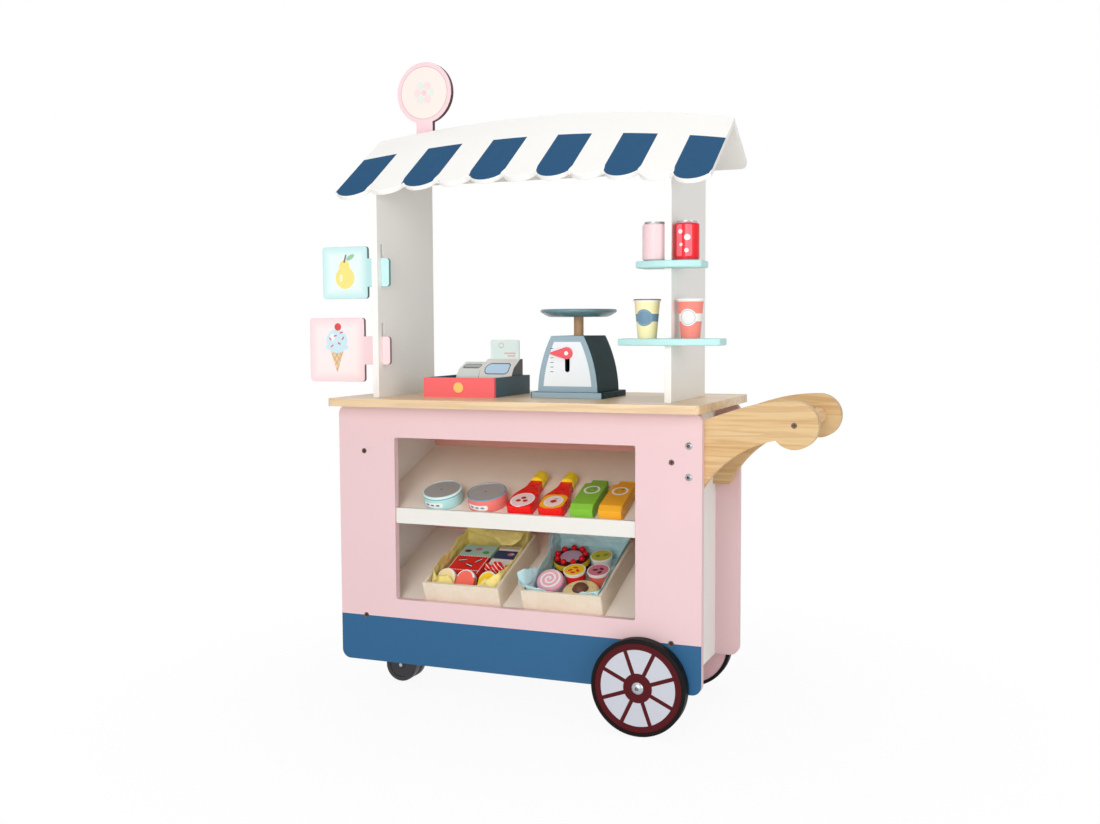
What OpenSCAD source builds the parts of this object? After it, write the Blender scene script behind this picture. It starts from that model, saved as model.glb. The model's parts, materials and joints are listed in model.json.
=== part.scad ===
// Toy market stall on two wheels and a caster, with an awning, a display window,
// a handle and the toy goods that stand on it. Millimetres, +Z up, floor at zero.

/* [Counter] */
// Overhang of the countertop past the panels' ends
counter_over = 3; // [0:1:20]
// Depth of the countertop
counter_d = 300; // [290:2:340]
// Thickness of the countertop
counter_t = 12; // [9:1:16]
// Height of the countertop's upper face
counter_z = 472; // [460:2:520]

/* [Cabinet] */
// Reach of the front and rear panels beyond the side panels
panel_over = 38; // [30:1:50]
// Thickness of the front and rear panels
panel_t = 12; // [9:1:15]
// Depth over the front and rear panels
cabinet_d = 240; // [230:2:250]
// Radius of the panels' corners
panel_r = 14; // [4:1:30]
// Width over the two side panels
carcass_w = 504; // [490:2:520]
// Thickness of the side panels
side_t = 12; // [10:1:15]
// Thickness of the hidden base board
base_t = 12; // [9:1:18]

/* [Display] */
// Width of the window in the front panel
window_w = 386; // [340:2:420]
// Height of the front panel above the window
head_h = 48; // [40:1:70]
// Height of the front panel below the window
sill_h = 100; // [90:1:110]
// Rise of the display boards to the rear, in degrees
display_slope = 20; // [12:1:21]
// Thickness of the display boards
display_t = 9; // [6:1:12]
// Height of the upper display board's front edge above the window sill
shelf_rise = 138; // [125:1:145]
// Height of the lip in the window
lip_h = 24; // [16:1:32]

/* [Posts] */
// Thickness of the two posts
post_t = 10; // [9:1:13]
// Distance of the posts' front edges before the middle
post_front = 100; // [94:1:105]
// Distance of the posts' rear edges behind the middle
post_rear = 87; // [80:1:95]
// Thickness of the side shelves
side_shelf_t = 10; // [8:1:14]
// Length of the upper side shelf
upper_shelf_len = 96; // [92:2:110]
// Length of the lower side shelf
lower_shelf_len = 150; // [140:2:166]

/* [Awning] */
// Number of scallops along the hem
scallop_n = 11; // [9:2:13]
// Width of one scallop
scallop_w = 54; // [50:1:58]
// Drop of a scallop below the hem line
scallop_drop = 19; // [12:1:24]
// Thickness of the awning boards
awning_t = 8; // [6:1:12]
// Slope of the front board, in degrees
front_slope = 34.4; // [28:0.2:38]
// Slope of the rear board, in degrees
rear_slope = 31; // [26:1:35]
// Height of the ridge above the countertop
ridge_rise = 413.5; // [400:0.5:440]
// Slope length from the ridge line to the hem at the ends
eave_len = 171.5; // [165:0.5:185]
// Length of the rear board below the ridge
rear_len = 101; // [95:1:106]
// Diameter of the round sign
roundel_d = 99; // [80:1:110]
// Rise of the round sign's top above the ridge
sign_rise = 128.5; // [115:0.5:170]

/* [Handle] */
// Reach of the grip bar beyond the side panel
grip_reach = 162; // [140:2:180]
// Drop of the grip bar below the countertop's upper face
grip_drop = 27; // [20:1:40]
// Diameter of the grip bar
grip_d = 24; // [20:1:30]
// Thickness of the handle arms
arm_t = 18; // [15:1:21]
// Radius of the arms' round ends
arm_end_r = 33; // [28:1:36]
// Rise of the arms' upper edge, in degrees
arm_rise = 18.7; // [15:0.1:22]

/* [Wheels] */
// Diameter over the tyres of the two large wheels
wheel_d = 140; // [140:2:170]
// Thickness of the wheel discs
wheel_t = 18; // [14:1:20]
// Height of the tyre's rubber section
tyre_h = 5.5; // [4:0.5:8]
// Diameter of the axle bolts
axle_d = 8; // [6:1:10]
// Distance of the axles from the right side panel's inner face
wheel_inset = 37; // [30:1:50]
// Diameter of the caster's wheels
caster_wheel_d = 54; // [46:1:54]
// Trail of the caster
caster_trail = 25; // [20:1:28]

/* [Signs] */
// Thickness of the menu signs
sign_t = 6; // [4:0.5:8]
// Width of the upper menu sign's plate
upper_sign_w = 81; // [70:1:100]
// Height of the upper menu sign's plate
upper_sign_h = 81; // [70:1:90]
// Width of the lower menu sign's plate
lower_sign_w = 99; // [80:1:110]
// Height of the lower menu sign's plate
lower_sign_h = 100; // [80:1:104]

/* [Scale] */
// Width of the scale's foot
scale_w = 118; // [110:1:130]
// Depth of the scale's foot
scale_d = 112; // [106:1:120]
// Height of the scale's housing
housing_h = 85; // [80:1:100]
// Diameter of the pan
pan_d = 118; // [100:1:124]
// Diameter of the wooden stem
stem_d = 15; // [12:1:18]
// Travel of the pan
pan_travel = 25; // [15:1:26]

/* [Till] */
// Width of the cash tray
tray_w = 121; // [116:1:130]
// Depth of the cash tray
tray_d = 140; // [130:1:150]
// Height of the cash tray
tray_h = 30; // [24:1:34]
// Width of the till's printer half
printer_w = 40; // [34:1:42]
// Width of the till's screen half
screen_w = 58; // [54:1:62]
// Height of the payment card
card_h = 46; // [40:1:60]

/* [Goods] */
// Diameter of the drink cans
can_d = 35; // [30:1:38]
// Height of the drink cans
can_h = 55; // [48:1:62]
// Diameter of the paper cups at the rim
cup_d = 40; // [34:1:42]
// Height of the paper cups
cup_h = 56; // [48:1:58]
// Diameter of the food tins
tin_d = 61; // [50:1:66]
// Height of the food tins
tin_h = 22; // [16:1:28]
// Length of the sauce bottles with their caps
bottle_len = 111; // [100:1:125]
// Width of the sauce bottles
bottle_w = 40; // [36:1:44]
// Width of the drink cartons
carton_w = 35; // [30:1:38]
// Length of the drink cartons
carton_len = 94; // [80:1:105]
// Width of the crates
crate_w = 127; // [124:1:135]
// Length of the crates, along the slope
crate_len = 166; // [162:1:180]
// Height of the crates
crate_h = 35; // [30:1:42]

/* [Hidden] */
$fn = 64;

// Clearances shared by every fit
overrun = 1;
fit = 0.15;
move_gap = 0.3;
run_gap = 0.05;
rest_gap = 0.05;

// Colours
pink = "#F6D2D4";
white = "#F4F3F0";
pine = "#E8C48E";
mint = "#BEEBE4";
blue = "#2D5C80";
red = "#F86C6C";
slate = "#3C5560";
black = "#202022";
steel = "#C9CCD0";

// Cabinet, derived
axle_edge = 8;
beam_h = 14;
beam_w = 40;
axle_z = wheel_d / 2;
panel_w = carcass_w + 2 * panel_over;
counter_w = panel_w + 2 * counter_over;
panel_z0 = axle_z - axle_edge;
panel_z1 = counter_z - counter_t;
panel_h = panel_z1 - panel_z0;
base_z0 = panel_z0 + beam_h;
inner_d = cabinet_d - 2 * panel_t;
inner_y = inner_d / 2;
side_out_x = carcass_w / 2;
side_in_x = side_out_x - side_t;
counter_r = 8;

// Display, derived
window_r = 3;
window_z0 = panel_z0 + sill_h;
window_h = panel_h - sill_h - head_h;
sill_stop = 5;
lip_t = 10;
lip_end_gap = 0.5;
lip_over = 4;
display_drop = display_t / cos(display_slope);
floor_z = window_z0 - sill_stop;
shelf_z = window_z0 + shelf_rise;
floor_stop_s = sill_stop * sin(display_slope) + move_gap;
shelf_stop_s = lip_over * sin(display_slope) + move_gap;

// Fasteners
screw_head_r = 4;
screw_head_t = 2.4;
screw_shank_r = 2;
screw_recess = 0.6;
screw_len = 34;
screw_top_drop = 70;
screw_low_rise = 71;
bolt_head_r = 5.2;
bolt_head_h = 3;
bolt_shank_r = 3;
bolt_bite = 12;
arm_bolt_drops = [31, 75];
post_bolt_bite = 30;
post_bolt_shares = [0.22, 0.78];

// Posts, derived
post_inset = 0.5;
post_x = side_in_x - post_inset - post_t / 2;
notch_depth = 25;
shelf_back = 20;
shelf_front = 14;
shelf_bow = 15;
shelf_tip_r = 8;
upper_shelf_drop = 123.2;
shelf_spacing = 109;

// Awning, derived
awning_w = scallop_n * scallop_w;
ridge_y = 33;
ridge_z = counter_z + ridge_rise;
crown_rise = 55;
hem_rise = 38;
rear_corner_r = 12;
crown_r = (pow(awning_w / 2, 2) + pow(crown_rise, 2)) / (2 * crown_rise);
hem_r = (pow(awning_w / 2, 2) + pow(hem_rise, 2)) / (2 * hem_rise);
scallop_r = (pow(scallop_w / 2, 2) + pow(scallop_drop, 2)) / (2 * scallop_drop);
under_y = ridge_y + awning_t * sin(front_slope);
under_z = ridge_z - awning_t * cos(front_slope);
peak_run = awning_t / sin(front_slope + rear_slope);
peak_y = under_y - peak_run * cos(front_slope);
peak_z = under_z - peak_run * sin(front_slope);

// Heights of the posts' front edges and of the side shelves above the countertop
post_front_h = under_z - (post_front + under_y) * tan(front_slope) - counter_z;
upper_shelf_rise = post_front_h - upper_shelf_drop;
lower_shelf_rise = upper_shelf_rise - shelf_spacing;

// Round sign, derived
roundel_t = 10;
roundel_y = 62;
roundel_shift = 4.5;
roundel_x = roundel_shift - post_x;
roundel_z = ridge_z + sign_rise - roundel_d / 2;
stem_w = 30;
tab_w = 20;

// Handle, derived
grip_x = side_out_x + grip_reach;
grip_z = counter_z - grip_drop;
arm_crown_r = 257;
arm_under_r = 157;
under_arc_dx = 6;
under_arc_drop = 175;
arm_foot_drop = 110;
arm_bolt_x = (side_out_x + panel_w / 2) / 2;
grip_screw_len = 45;

// Wheels, derived
axle_x = side_in_x - wheel_inset;
washer_t = 2.7;
washer_r = 12;
wheel_in_y = cabinet_d / 2 + washer_t + move_gap;
tyre_proud = 1;
axle_head_r = 9;
axle_head_h = 4;
axle_socket_r = 3;
axle_socket_depth = 2;
axle_bite = 45;
hub_r = 21;
hub_step = 0.6;

// Caster, derived
caster_plate_w = 42;
caster_plate_gap = 1;
caster_x = caster_plate_gap + caster_plate_w / 2 - side_in_x;
caster_plate_t = 2.5;
caster_plate_r = 4;
caster_boss_r = 9;
caster_stem_r = 5;
caster_stem_len = 10;
caster_head_r = 11;
caster_web = 8;
caster_wheel_t = 15;
caster_side_gap = 0.4;
hood_gap = 1.6;
hood_t = 2.4;
caster_axle_r = 3;
caster_screw_inset = 6;
caster_screw_len = 11;
caster_r = caster_wheel_d / 2;
caster_wheel_x = caster_x - caster_trail;
caster_wheel_y = caster_web / 2 + caster_side_gap;
caster_head_z = panel_z0 - move_gap - run_gap;

// Menu signs, derived
sign_play = 1.4;
sign_y = -85;
sign_slot_w = sign_t + sign_play;
sign_slot_h = 61;
sign_neck_h = 44;
sign_hook = 4;
sign_tab = 13.5;
upper_neck_len = 14.5;
lower_neck_len = 22;
sign_r = 5;
upper_slot_rise = 175;
lower_slot_rise = 54;
upper_sign_drop = 22;
lower_sign_drop = 31;

// Scale, derived
scale_x = 60;
scale_y = 10;
foot_t = 9;
foot_r = 5;
housing_base_w = 96;
housing_top_w = 52;
housing_d = 100;
housing_wall = 8;
housing_bulge = 5;
housing_z0 = counter_z + foot_t;
housing_z1 = housing_z0 + housing_h;
pan_gap = 3.5;
pan_h = 12;
pan_wall = 3;
pan_foot_d = 94;
pan_socket = 1.5;
pan_z0 = housing_z1 + pan_travel + pan_gap;
stem_low = 36;
stem_z0 = housing_z1 - stem_low;
pointer_t = 4;
pointer_r = 9;
pointer_len = 26;
pointer_tip_r = 1.2;
pointer_pin_r = 3;
pointer_drop = 26;
pointer_z = housing_z1 - pointer_drop;
pointer_slot_w = 7.4;
pointer_pin_in = 6;
spring_turns = 8;
spring_wire_r = 0.7;
spring_r = 6.2;
spring_sides = 6;
spring_rings = 8;

// Till, derived
tray_x = -110;
tray_y = 5;
tray_wall = 6;
tray_floor = 5;
coin_r = 8;
coin_t = 1.2;
till_gap = 5;
till_shift = 4;
till_x = tray_x + till_shift;
till_z0 = counter_z + tray_floor;
till_back = tray_y + tray_d / 2 - tray_wall - till_gap;
till_d = 46;
till_brow = 24;
screen_h = 51;
printer_h = 46;
till_crown = 10;
card_w = 50;
card_t = 3;
card_slot_depth = 15;
card_set = 5;
paper_slot_w = 28;
paper_slot_d = 4;
paper_slot_depth = 6;

// Goods on the side shelves, derived
goods_gap = 1;
goods_y = -86;
cup_y = -78;
cup_gap = 2;
cup_foot_d = 27;
cup_rim_r = 1.5;
can_neck_h = 5;
can_neck_in = 3;

// Goods on the display shelf, derived
mint_tin_x = -129.5;
coral_tin_x = -54.5;
tin_rim = 1.2;
bottle_xs = [8, 57.8];
bottle_lean = 1.5;
bottle_t = 15.5;
bottle_r = 6;
bottle_body_share = 0.29;
bottle_neck_share = 0.64;
bottle_cap_share = 0.76;
bottle_neck_w = 18;
bottle_cap_r = 10.4;
bottle_cap_tip = 5;
bottle_steps = 12;
green_carton_x = 107;
orange_carton_x = 151;
carton_t = 20;
carton_top_w = 25;
carton_top_t = 12;
carton_fin = 10;
carton_slope = 10;

// Crates, derived
left_crate_x = -86.5;
right_crate_x = 76.5;
crate_wall = 5;
crate_floor = 4;
crate_r = 3;
liner_t = 0.8;
liner_gap = 0.2;
liner_over = 2;
liner_tall = 9;
liner_wave = 2.5;
liner_waves = 3;
liner_steps = 24;
bed_w = crate_w - 2 * (crate_wall + liner_gap + liner_t);
bed_len = crate_len - 2 * (crate_wall + liner_gap + liner_t);
bed_z = crate_floor + 2 * liner_gap + liner_t;

// The origin lies below the middle of the whole stall
stall_x0 = -post_x - post_t / 2 - lower_neck_len - lower_sign_w;
stall_x1 = grip_x + arm_end_r;
origin_x = (stall_x0 + stall_x1) / 2;

// Shared shapes

module placed() {
    translate([-origin_x, 0, 0]) children();
}

module rounded_rect(w, h, r) {
    square([w - 2 * r, h], center = true);
    square([w, h - 2 * r], center = true);
    for (sx = [-1, 1], sy = [-1, 1])
        translate([sx * (w / 2 - r), sy * (h / 2 - r)]) circle(r);
}

// An outline in x and z, thick along y from y0
module upright(y0, t) {
    translate([0, y0 + t, 0]) rotate([90, 0, 0]) linear_extrude(t) children();
}

// An outline in y and z, long along x from x0
module lengthwise(x0, w) {
    translate([x0, 0, 0]) rotate([90, 0, 90]) linear_extrude(w) children();
}

// Something drawn along z, pointing into the cabinet from its front (-1) or rear (1)
module inward(side, x, z, y) {
    translate([x, side * y, z]) rotate([side * 90, 0, 0]) children();
}

// Something that rests on a display board: x, the way up the slope, and the board's normal
module on_slope(z) {
    translate([0, -inner_y, z]) rotate([display_slope, 0, 0]) translate([0, 0, rest_gap]) children();
}

module dome(r, h) {
    cap_r = (r * r + h * h) / (2 * h);
    rotate_extrude() intersection() {
        translate([0, h - cap_r]) circle(cap_r);
        square([r, h]);
    }
}

module wood_screw(length) {
    translate([0, 0, screw_recess]) {
        cylinder(h = screw_head_t, r = screw_head_r);
        cylinder(h = length, r = screw_shank_r);
    }
}

module wood_screw_bore(length) {
    translate([0, 0, -overrun]) cylinder(h = overrun + screw_recess + screw_head_t, r = screw_head_r + fit);
    cylinder(h = length + screw_recess + fit, r = screw_shank_r + fit);
}

module dome_bolt(length) {
    mirror([0, 0, 1]) dome(bolt_head_r, bolt_head_h);
    cylinder(h = length, r = bolt_shank_r);
}

module bolt_bore(length) {
    translate([0, 0, -overrun]) cylinder(h = length + overrun + fit, r = bolt_shank_r + fit);
}

// Places of the fasteners

module panel_screw_places() {
    for (side = [-1, 1], sx = [-1, 1], z = [panel_z1 - screw_top_drop, panel_z0 + screw_low_rise])
        inward(side, sx * (side_out_x - side_t / 2), z, cabinet_d / 2) children();
}

module arm_bolt_places() {
    for (side = [-1, 1], drop = arm_bolt_drops)
        inward(side, arm_bolt_x, grip_z - drop, cabinet_d / 2) children();
}

module grip_screw_places() {
    for (side = [-1, 1])
        inward(side, grip_x, grip_z, inner_y) children();
}

module axle_places() {
    for (side = [-1, 1])
        inward(side, axle_x, axle_z, cabinet_d / 2) children();
}

module post_bolt_places() {
    for (sx = [-1, 1], share = post_bolt_shares)
        translate([sx * post_x, -post_front + share * (post_front + post_rear), panel_z1]) children();
}

module caster_screw_places() {
    reach = caster_plate_w / 2 - caster_screw_inset;
    for (sx = [-1, 1], sy = [-1, 1])
        translate([caster_x + sx * reach, sy * reach, base_z0 - caster_plate_t]) children();
}

// Cabinet

module cabinet_panel(side, with_window) {
    difference() {
        upright(side < 0 ? -cabinet_d / 2 : inner_y, panel_t) difference() {
            translate([0, panel_z0 + panel_h / 2]) rounded_rect(panel_w, panel_h, panel_r);
            if (with_window)
                translate([0, window_z0 + window_h / 2]) rounded_rect(window_w, window_h, window_r);
        }
        panel_screw_places() wood_screw_bore(screw_len);
        arm_bolt_places() bolt_bore(panel_t + bolt_bite);
        axle_places() axle_bore();
    }
}

module front_panel() {
    color(pink) cabinet_panel(-1, true);
}

module rear_panel() {
    color(pink) cabinet_panel(1, false);
}

module side_panel(side) {
    color(white) difference() {
        translate([side * (side_out_x - side_t / 2), 0, panel_z0 + panel_h / 2])
            cube([side_t, inner_d, panel_h], center = true);
        panel_screw_places() wood_screw_bore(screw_len);
    }
}

module left_side_panel() {
    side_panel(-1);
}

module right_side_panel() {
    side_panel(1);
}

module base_board() {
    color(white) difference() {
        translate([0, 0, base_z0 + base_t / 2]) cube([2 * side_in_x, inner_d, base_t], center = true);
        caster_screw_places() cylinder(h = caster_screw_len, r = screw_shank_r + fit);
    }
}

module inclined_board(z) {
    rise = inner_d * tan(display_slope);
    lengthwise(-side_in_x, 2 * side_in_x) polygon([
        [-inner_y, z - display_drop],
        [inner_y, z + rise - display_drop],
        [inner_y, z + rise],
        [-inner_y, z]]);
}

module display_floor() {
    color(white) inclined_board(floor_z);
}

module display_shelf() {
    color(white) inclined_board(shelf_z);
}

module shelf_lip() {
    lip_w = window_w - 2 * lip_end_gap;
    color(white) upright(-inner_y - lip_t, lip_t)
        translate([-lip_w / 2, shelf_z + lip_over - lip_h]) square([lip_w, lip_h]);
}

module countertop() {
    color(pine) difference() {
        translate([0, 0, panel_z1]) linear_extrude(counter_t) rounded_rect(counter_w, counter_d, counter_r);
        post_bolt_places() bolt_bore(counter_t + post_bolt_bite);
    }
}

module axle_bore() {
    translate([0, 0, -overrun]) cylinder(h = overrun + panel_t + axle_bite + fit, r = axle_d / 2 + fit);
}

module axle_beam() {
    color(pine) difference() {
        translate([axle_x, 0, panel_z0 + beam_h / 2]) cube([beam_w, inner_d, beam_h], center = true);
        axle_places() axle_bore();
    }
}

// Posts and side shelves

module post_outline() {
    polygon([
        [-post_front, counter_z],
        [-post_front, counter_z + post_front_h],
        [peak_y, peak_z],
        [post_rear, peak_z - (post_rear - peak_y) * tan(rear_slope)],
        [post_rear, counter_z]]);
}

module left_post() {
    color(white) difference() {
        lengthwise(-post_x - post_t / 2, post_t) difference() {
            post_outline();
            for (rise = [upper_slot_rise, lower_slot_rise])
                translate([sign_y - sign_slot_w / 2, counter_z + rise]) square([sign_slot_w, sign_slot_h]);
        }
        post_bolt_places() bolt_bore(counter_t + post_bolt_bite);
    }
}

module right_post() {
    color(white) difference() {
        lengthwise(post_x - post_t / 2, post_t) difference() {
            post_outline();
            for (rise = [upper_shelf_rise, lower_shelf_rise])
                translate([-post_front - overrun, counter_z + rise - fit])
                    square([notch_depth + overrun, side_shelf_t + 2 * fit]);
        }
        post_bolt_places() bolt_bore(counter_t + post_bolt_bite);
    }
}

// Bowed at the front, slotted at the rear to pass the post
module side_shelf(len, rise) {
    bow_r = (pow(len / 2, 2) + pow(shelf_bow, 2)) / (2 * shelf_bow);
    front_y = -post_front - shelf_front;
    notch_y = -post_front + notch_depth;
    back_y = notch_y + shelf_back;
    color(mint) translate([post_x, 0, counter_z + rise]) linear_extrude(side_shelf_t) difference() {
        intersection() {
            translate([0, front_y + bow_r]) circle(bow_r, $fn = 128);
            translate([0, (front_y - shelf_tip_r + back_y) / 2])
                rounded_rect(len, back_y - front_y + shelf_tip_r, shelf_tip_r);
        }
        translate([-post_t / 2 - fit, notch_y]) square([post_t + 2 * fit, shelf_back + overrun]);
    }
}

module upper_side_shelf() {
    side_shelf(upper_shelf_len, upper_shelf_rise);
}

module lower_side_shelf() {
    side_shelf(lower_shelf_len, lower_shelf_rise);
}

// Awning

// Front board's plane: origin on the ridge line, y up the slope, z out of the board
module on_front_board() {
    translate([0, ridge_y, ridge_z]) rotate([front_slope, 0, 0]) children();
}

// Rear board's plane: origin where the two boards meet, y down the slope, z out of the board
module on_rear_board() {
    translate([0, under_y, under_z]) rotate([-rear_slope, 0, 0]) children();
}

function hem_y(x) = hem_rise - eave_len - hem_r + sqrt(hem_r * hem_r - x * x);

module front_outline() {
    difference() {
        intersection() {
            translate([0, crown_rise - crown_r]) circle(crown_r, $fn = 256);
            translate([-awning_w / 2, -eave_len]) square([awning_w, eave_len + crown_rise]);
        }
        translate([0, hem_rise - eave_len - hem_r]) circle(hem_r, $fn = 256);
    }
    intersection() {
        for (i = [0 : scallop_n - 1]) {
            x = (i + 1 / 2) * scallop_w - awning_w / 2;
            chord_y = (hem_y(x - scallop_w / 2) + hem_y(x + scallop_w / 2)) / 2;
            translate([x, chord_y + scallop_r - scallop_drop]) circle(scallop_r);
        }
        translate([-awning_w / 2, -2 * eave_len]) square([awning_w, 2 * eave_len]);
    }
}

module awning_front() {
    color(blue) on_front_board() translate([0, 0, -awning_t]) linear_extrude(awning_t) front_outline();
}

module awning_rear() {
    reach = 2 * peak_run;
    color(white) difference() {
        on_rear_board() translate([0, 0, -awning_t]) linear_extrude(awning_t)
            translate([0, (rear_len - reach) / 2]) rounded_rect(awning_w, rear_len + reach, rear_corner_r);
        on_front_board() translate([-awning_w, -eave_len, -awning_t])
            cube([2 * awning_w, 2 * eave_len, eave_len]);
        translate([roundel_x - tab_w / 2 - fit, roundel_y - fit, peak_z - rear_len])
            cube([tab_w + 2 * fit, roundel_t + 2 * fit, 2 * rear_len]);
    }
}

// Disc on a stem: its shoulders sit on the rear board and its tab ends inside it
module roundel_sign() {
    color(pink) difference() {
        upright(roundel_y, roundel_t) {
            translate([roundel_x, roundel_z]) circle(roundel_d / 2);
            translate([roundel_x - stem_w / 2, peak_z - rear_len]) square([stem_w, roundel_z - peak_z + rear_len]);
        }
        on_rear_board() translate([roundel_x - stem_w, -rear_len, move_gap - awning_t - 2 * rear_len])
            cube([2 * stem_w, 2 * rear_len, 2 * rear_len]);
        for (x = [roundel_x - stem_w, roundel_x + tab_w / 2])
            on_rear_board() translate([x, -rear_len, -rear_len])
                cube([stem_w - tab_w / 2, 2 * rear_len, rear_len]);
    }
}

// Handle

module arm_outline() {
    crown_z = grip_z + arm_end_r - arm_crown_r;
    bend_x = grip_x - arm_crown_r * sin(arm_rise);
    bend_z = crown_z + arm_crown_r * cos(arm_rise);
    foot_z = grip_z - arm_foot_drop;
    difference() {
        union() {
            polygon([
                [side_out_x, foot_z],
                [bend_x, foot_z],
                [bend_x, bend_z],
                [side_out_x, bend_z - (bend_x - side_out_x) * tan(arm_rise)]]);
            intersection() {
                translate([grip_x, crown_z]) circle(arm_crown_r, $fn = 128);
                translate([bend_x, foot_z]) square([grip_x - bend_x, arm_foot_drop + arm_end_r]);
            }
        }
        translate([grip_x + under_arc_dx, grip_z - under_arc_drop]) circle(arm_under_r, $fn = 128);
    }
    translate([grip_x, grip_z]) circle(arm_end_r);
}

module handle_arm(side) {
    color(pine) difference() {
        upright(side < 0 ? -inner_y : inner_y - arm_t, arm_t) arm_outline();
        arm_bolt_places() bolt_bore(panel_t + bolt_bite);
        grip_screw_places() wood_screw_bore(grip_screw_len);
    }
}

module handle_arm_front() {
    handle_arm(-1);
}

module handle_arm_rear() {
    handle_arm(1);
}

module grip_bar() {
    grip_len = inner_d - 2 * arm_t;
    color(pine) difference() {
        inward(-1, grip_x, grip_z, grip_len / 2) cylinder(h = grip_len, d = grip_d);
        grip_screw_places() wood_screw_bore(grip_screw_len);
    }
}

// Fasteners

module wood_screws() {
    color(black) {
        panel_screw_places() wood_screw(screw_len);
        grip_screw_places() wood_screw(grip_screw_len);
        caster_screw_places() {
            cylinder(h = caster_screw_len, r = screw_shank_r);
            mirror([0, 0, 1]) dome(screw_head_r, screw_head_t);
        }
    }
}

module cabinet_bolts() {
    color(steel) {
        arm_bolt_places() dome_bolt(panel_t + bolt_bite);
        post_bolt_places() dome_bolt(counter_t + post_bolt_bite);
    }
}

module axle_bolts() {
    head_out = washer_t + wheel_t + 2 * move_gap;
    color(steel) axle_places() translate([0, 0, -head_out]) difference() {
        union() {
            mirror([0, 0, 1]) dome(axle_head_r, axle_head_h);
            cylinder(h = head_out + panel_t + axle_bite, d = axle_d);
        }
        translate([0, 0, -axle_head_h]) cylinder(h = axle_socket_depth, r = axle_socket_r, $fn = 6);
    }
}

module axle_washers() {
    color(steel) axle_places() translate([0, 0, -washer_t]) difference() {
        cylinder(h = washer_t, r = washer_r);
        translate([0, 0, -overrun]) cylinder(h = washer_t + 2 * overrun, r = axle_d / 2 + fit);
    }
}

// Wheels

module wheel_place(side) {
    inward(side, axle_x, axle_z, wheel_in_y + wheel_t) children();
}

// Drawn from the outer face inwards, with a raised hub
module wheel_disc(side) {
    rim_r = axle_z - tyre_h;
    color(white) wheel_place(side) rotate_extrude() polygon([
        [axle_d / 2 + run_gap, 0],
        [hub_r, 0],
        [hub_r, hub_step],
        [rim_r, hub_step],
        [rim_r, wheel_t],
        [axle_d / 2 + run_gap, wheel_t]]);
}

module tyre(side) {
    rim_r = axle_z - tyre_h;
    tyre_w = wheel_t + 2 * tyre_proud;
    crown = tyre_h / 2;
    color(black) wheel_place(side) translate([0, 0, -tyre_proud]) rotate_extrude() {
        translate([rim_r, 0]) square([crown, tyre_w]);
        translate([rim_r, crown]) square([tyre_h, tyre_w - 2 * crown]);
        for (z = [crown, tyre_w - crown])
            translate([rim_r + tyre_h - crown, z]) circle(crown);
    }
}

module front_wheel() {
    wheel_disc(-1);
}

module front_tyre() {
    tyre(-1);
}

module rear_wheel() {
    wheel_disc(1);
}

module rear_tyre() {
    tyre(1);
}

// Caster

module caster_plate() {
    color(black) difference() {
        union() {
            translate([caster_x, 0, base_z0 - caster_plate_t]) linear_extrude(caster_plate_t)
                rounded_rect(caster_plate_w, caster_plate_w, caster_plate_r);
            translate([caster_x, 0, panel_z0])
                cylinder(h = beam_h - caster_plate_t, r = caster_boss_r);
        }
        caster_screw_places() translate([0, 0, -overrun])
            cylinder(h = caster_screw_len, r = screw_shank_r + fit);
        translate([caster_x, 0, panel_z0 - overrun])
            cylinder(h = caster_stem_len + overrun + fit, r = caster_stem_r + run_gap);
    }
}

// Web, arched hood over both wheels and a turned head with the swivel stem
module caster_hood() {
    hood_in_r = caster_r + hood_gap;
    hood_w = caster_web + 2 * (caster_side_gap + caster_wheel_t);
    head_z0 = caster_r + caster_head_r;
    color(black) {
        difference() {
            union() {
                upright(-hood_w / 2, hood_w) difference() {
                    translate([caster_wheel_x, caster_r]) circle(hood_in_r + hood_t);
                    translate([caster_wheel_x - caster_wheel_d, -caster_wheel_d])
                        square([2 * caster_wheel_d, caster_wheel_d + caster_r + caster_axle_r]);
                }
                translate([caster_x, 0, head_z0]) cylinder(h = caster_head_z - head_z0, r = caster_head_r);
            }
            for (side = [-1, 1])
                upright(side < 0 ? -hood_w : caster_web / 2, hood_w - caster_web / 2)
                    translate([caster_wheel_x, caster_r]) circle(hood_in_r);
            caster_axle_bore();
        }
        difference() {
            upright(-caster_web / 2, caster_web) translate([caster_wheel_x, caster_r])
                circle(caster_r - hood_gap);
            caster_axle_bore();
        }
        translate([caster_x, 0, caster_head_z])
            cylinder(h = panel_z0 + caster_stem_len - caster_head_z, r = caster_stem_r);
    }
}

module caster_axle_bore() {
    upright(-caster_web, 2 * caster_web) translate([caster_wheel_x, caster_r]) circle(caster_axle_r + fit);
}

module caster_axle() {
    half = caster_wheel_y + caster_wheel_t;
    color(steel) upright(-half, 2 * half) translate([caster_wheel_x, caster_r]) circle(caster_axle_r);
}

// Rounded tread and a dished outer face
module caster_wheel(side) {
    tread_r = caster_wheel_t / 5;
    dish_r = caster_r / 2;
    color(black) translate([caster_wheel_x, side * caster_wheel_y, caster_r]) rotate([-side * 90, 0, 0])
        rotate_extrude() difference() {
            union() {
                translate([0, 0]) square([caster_r - tread_r, caster_wheel_t]);
                translate([0, tread_r]) square([caster_r, caster_wheel_t - 2 * tread_r]);
                for (z = [tread_r, caster_wheel_t - tread_r])
                    translate([caster_r - tread_r, z]) circle(tread_r);
            }
            translate([-caster_r, -overrun])
                square([caster_r + caster_axle_r + run_gap, caster_wheel_t + 2 * overrun]);
            translate([caster_axle_r + tread_r, caster_wheel_t - tread_r / 2]) square([dish_r, tread_r]);
        }
}

module caster_wheel_left() {
    caster_wheel(-1);
}

module caster_wheel_right() {
    caster_wheel(1);
}

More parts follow.
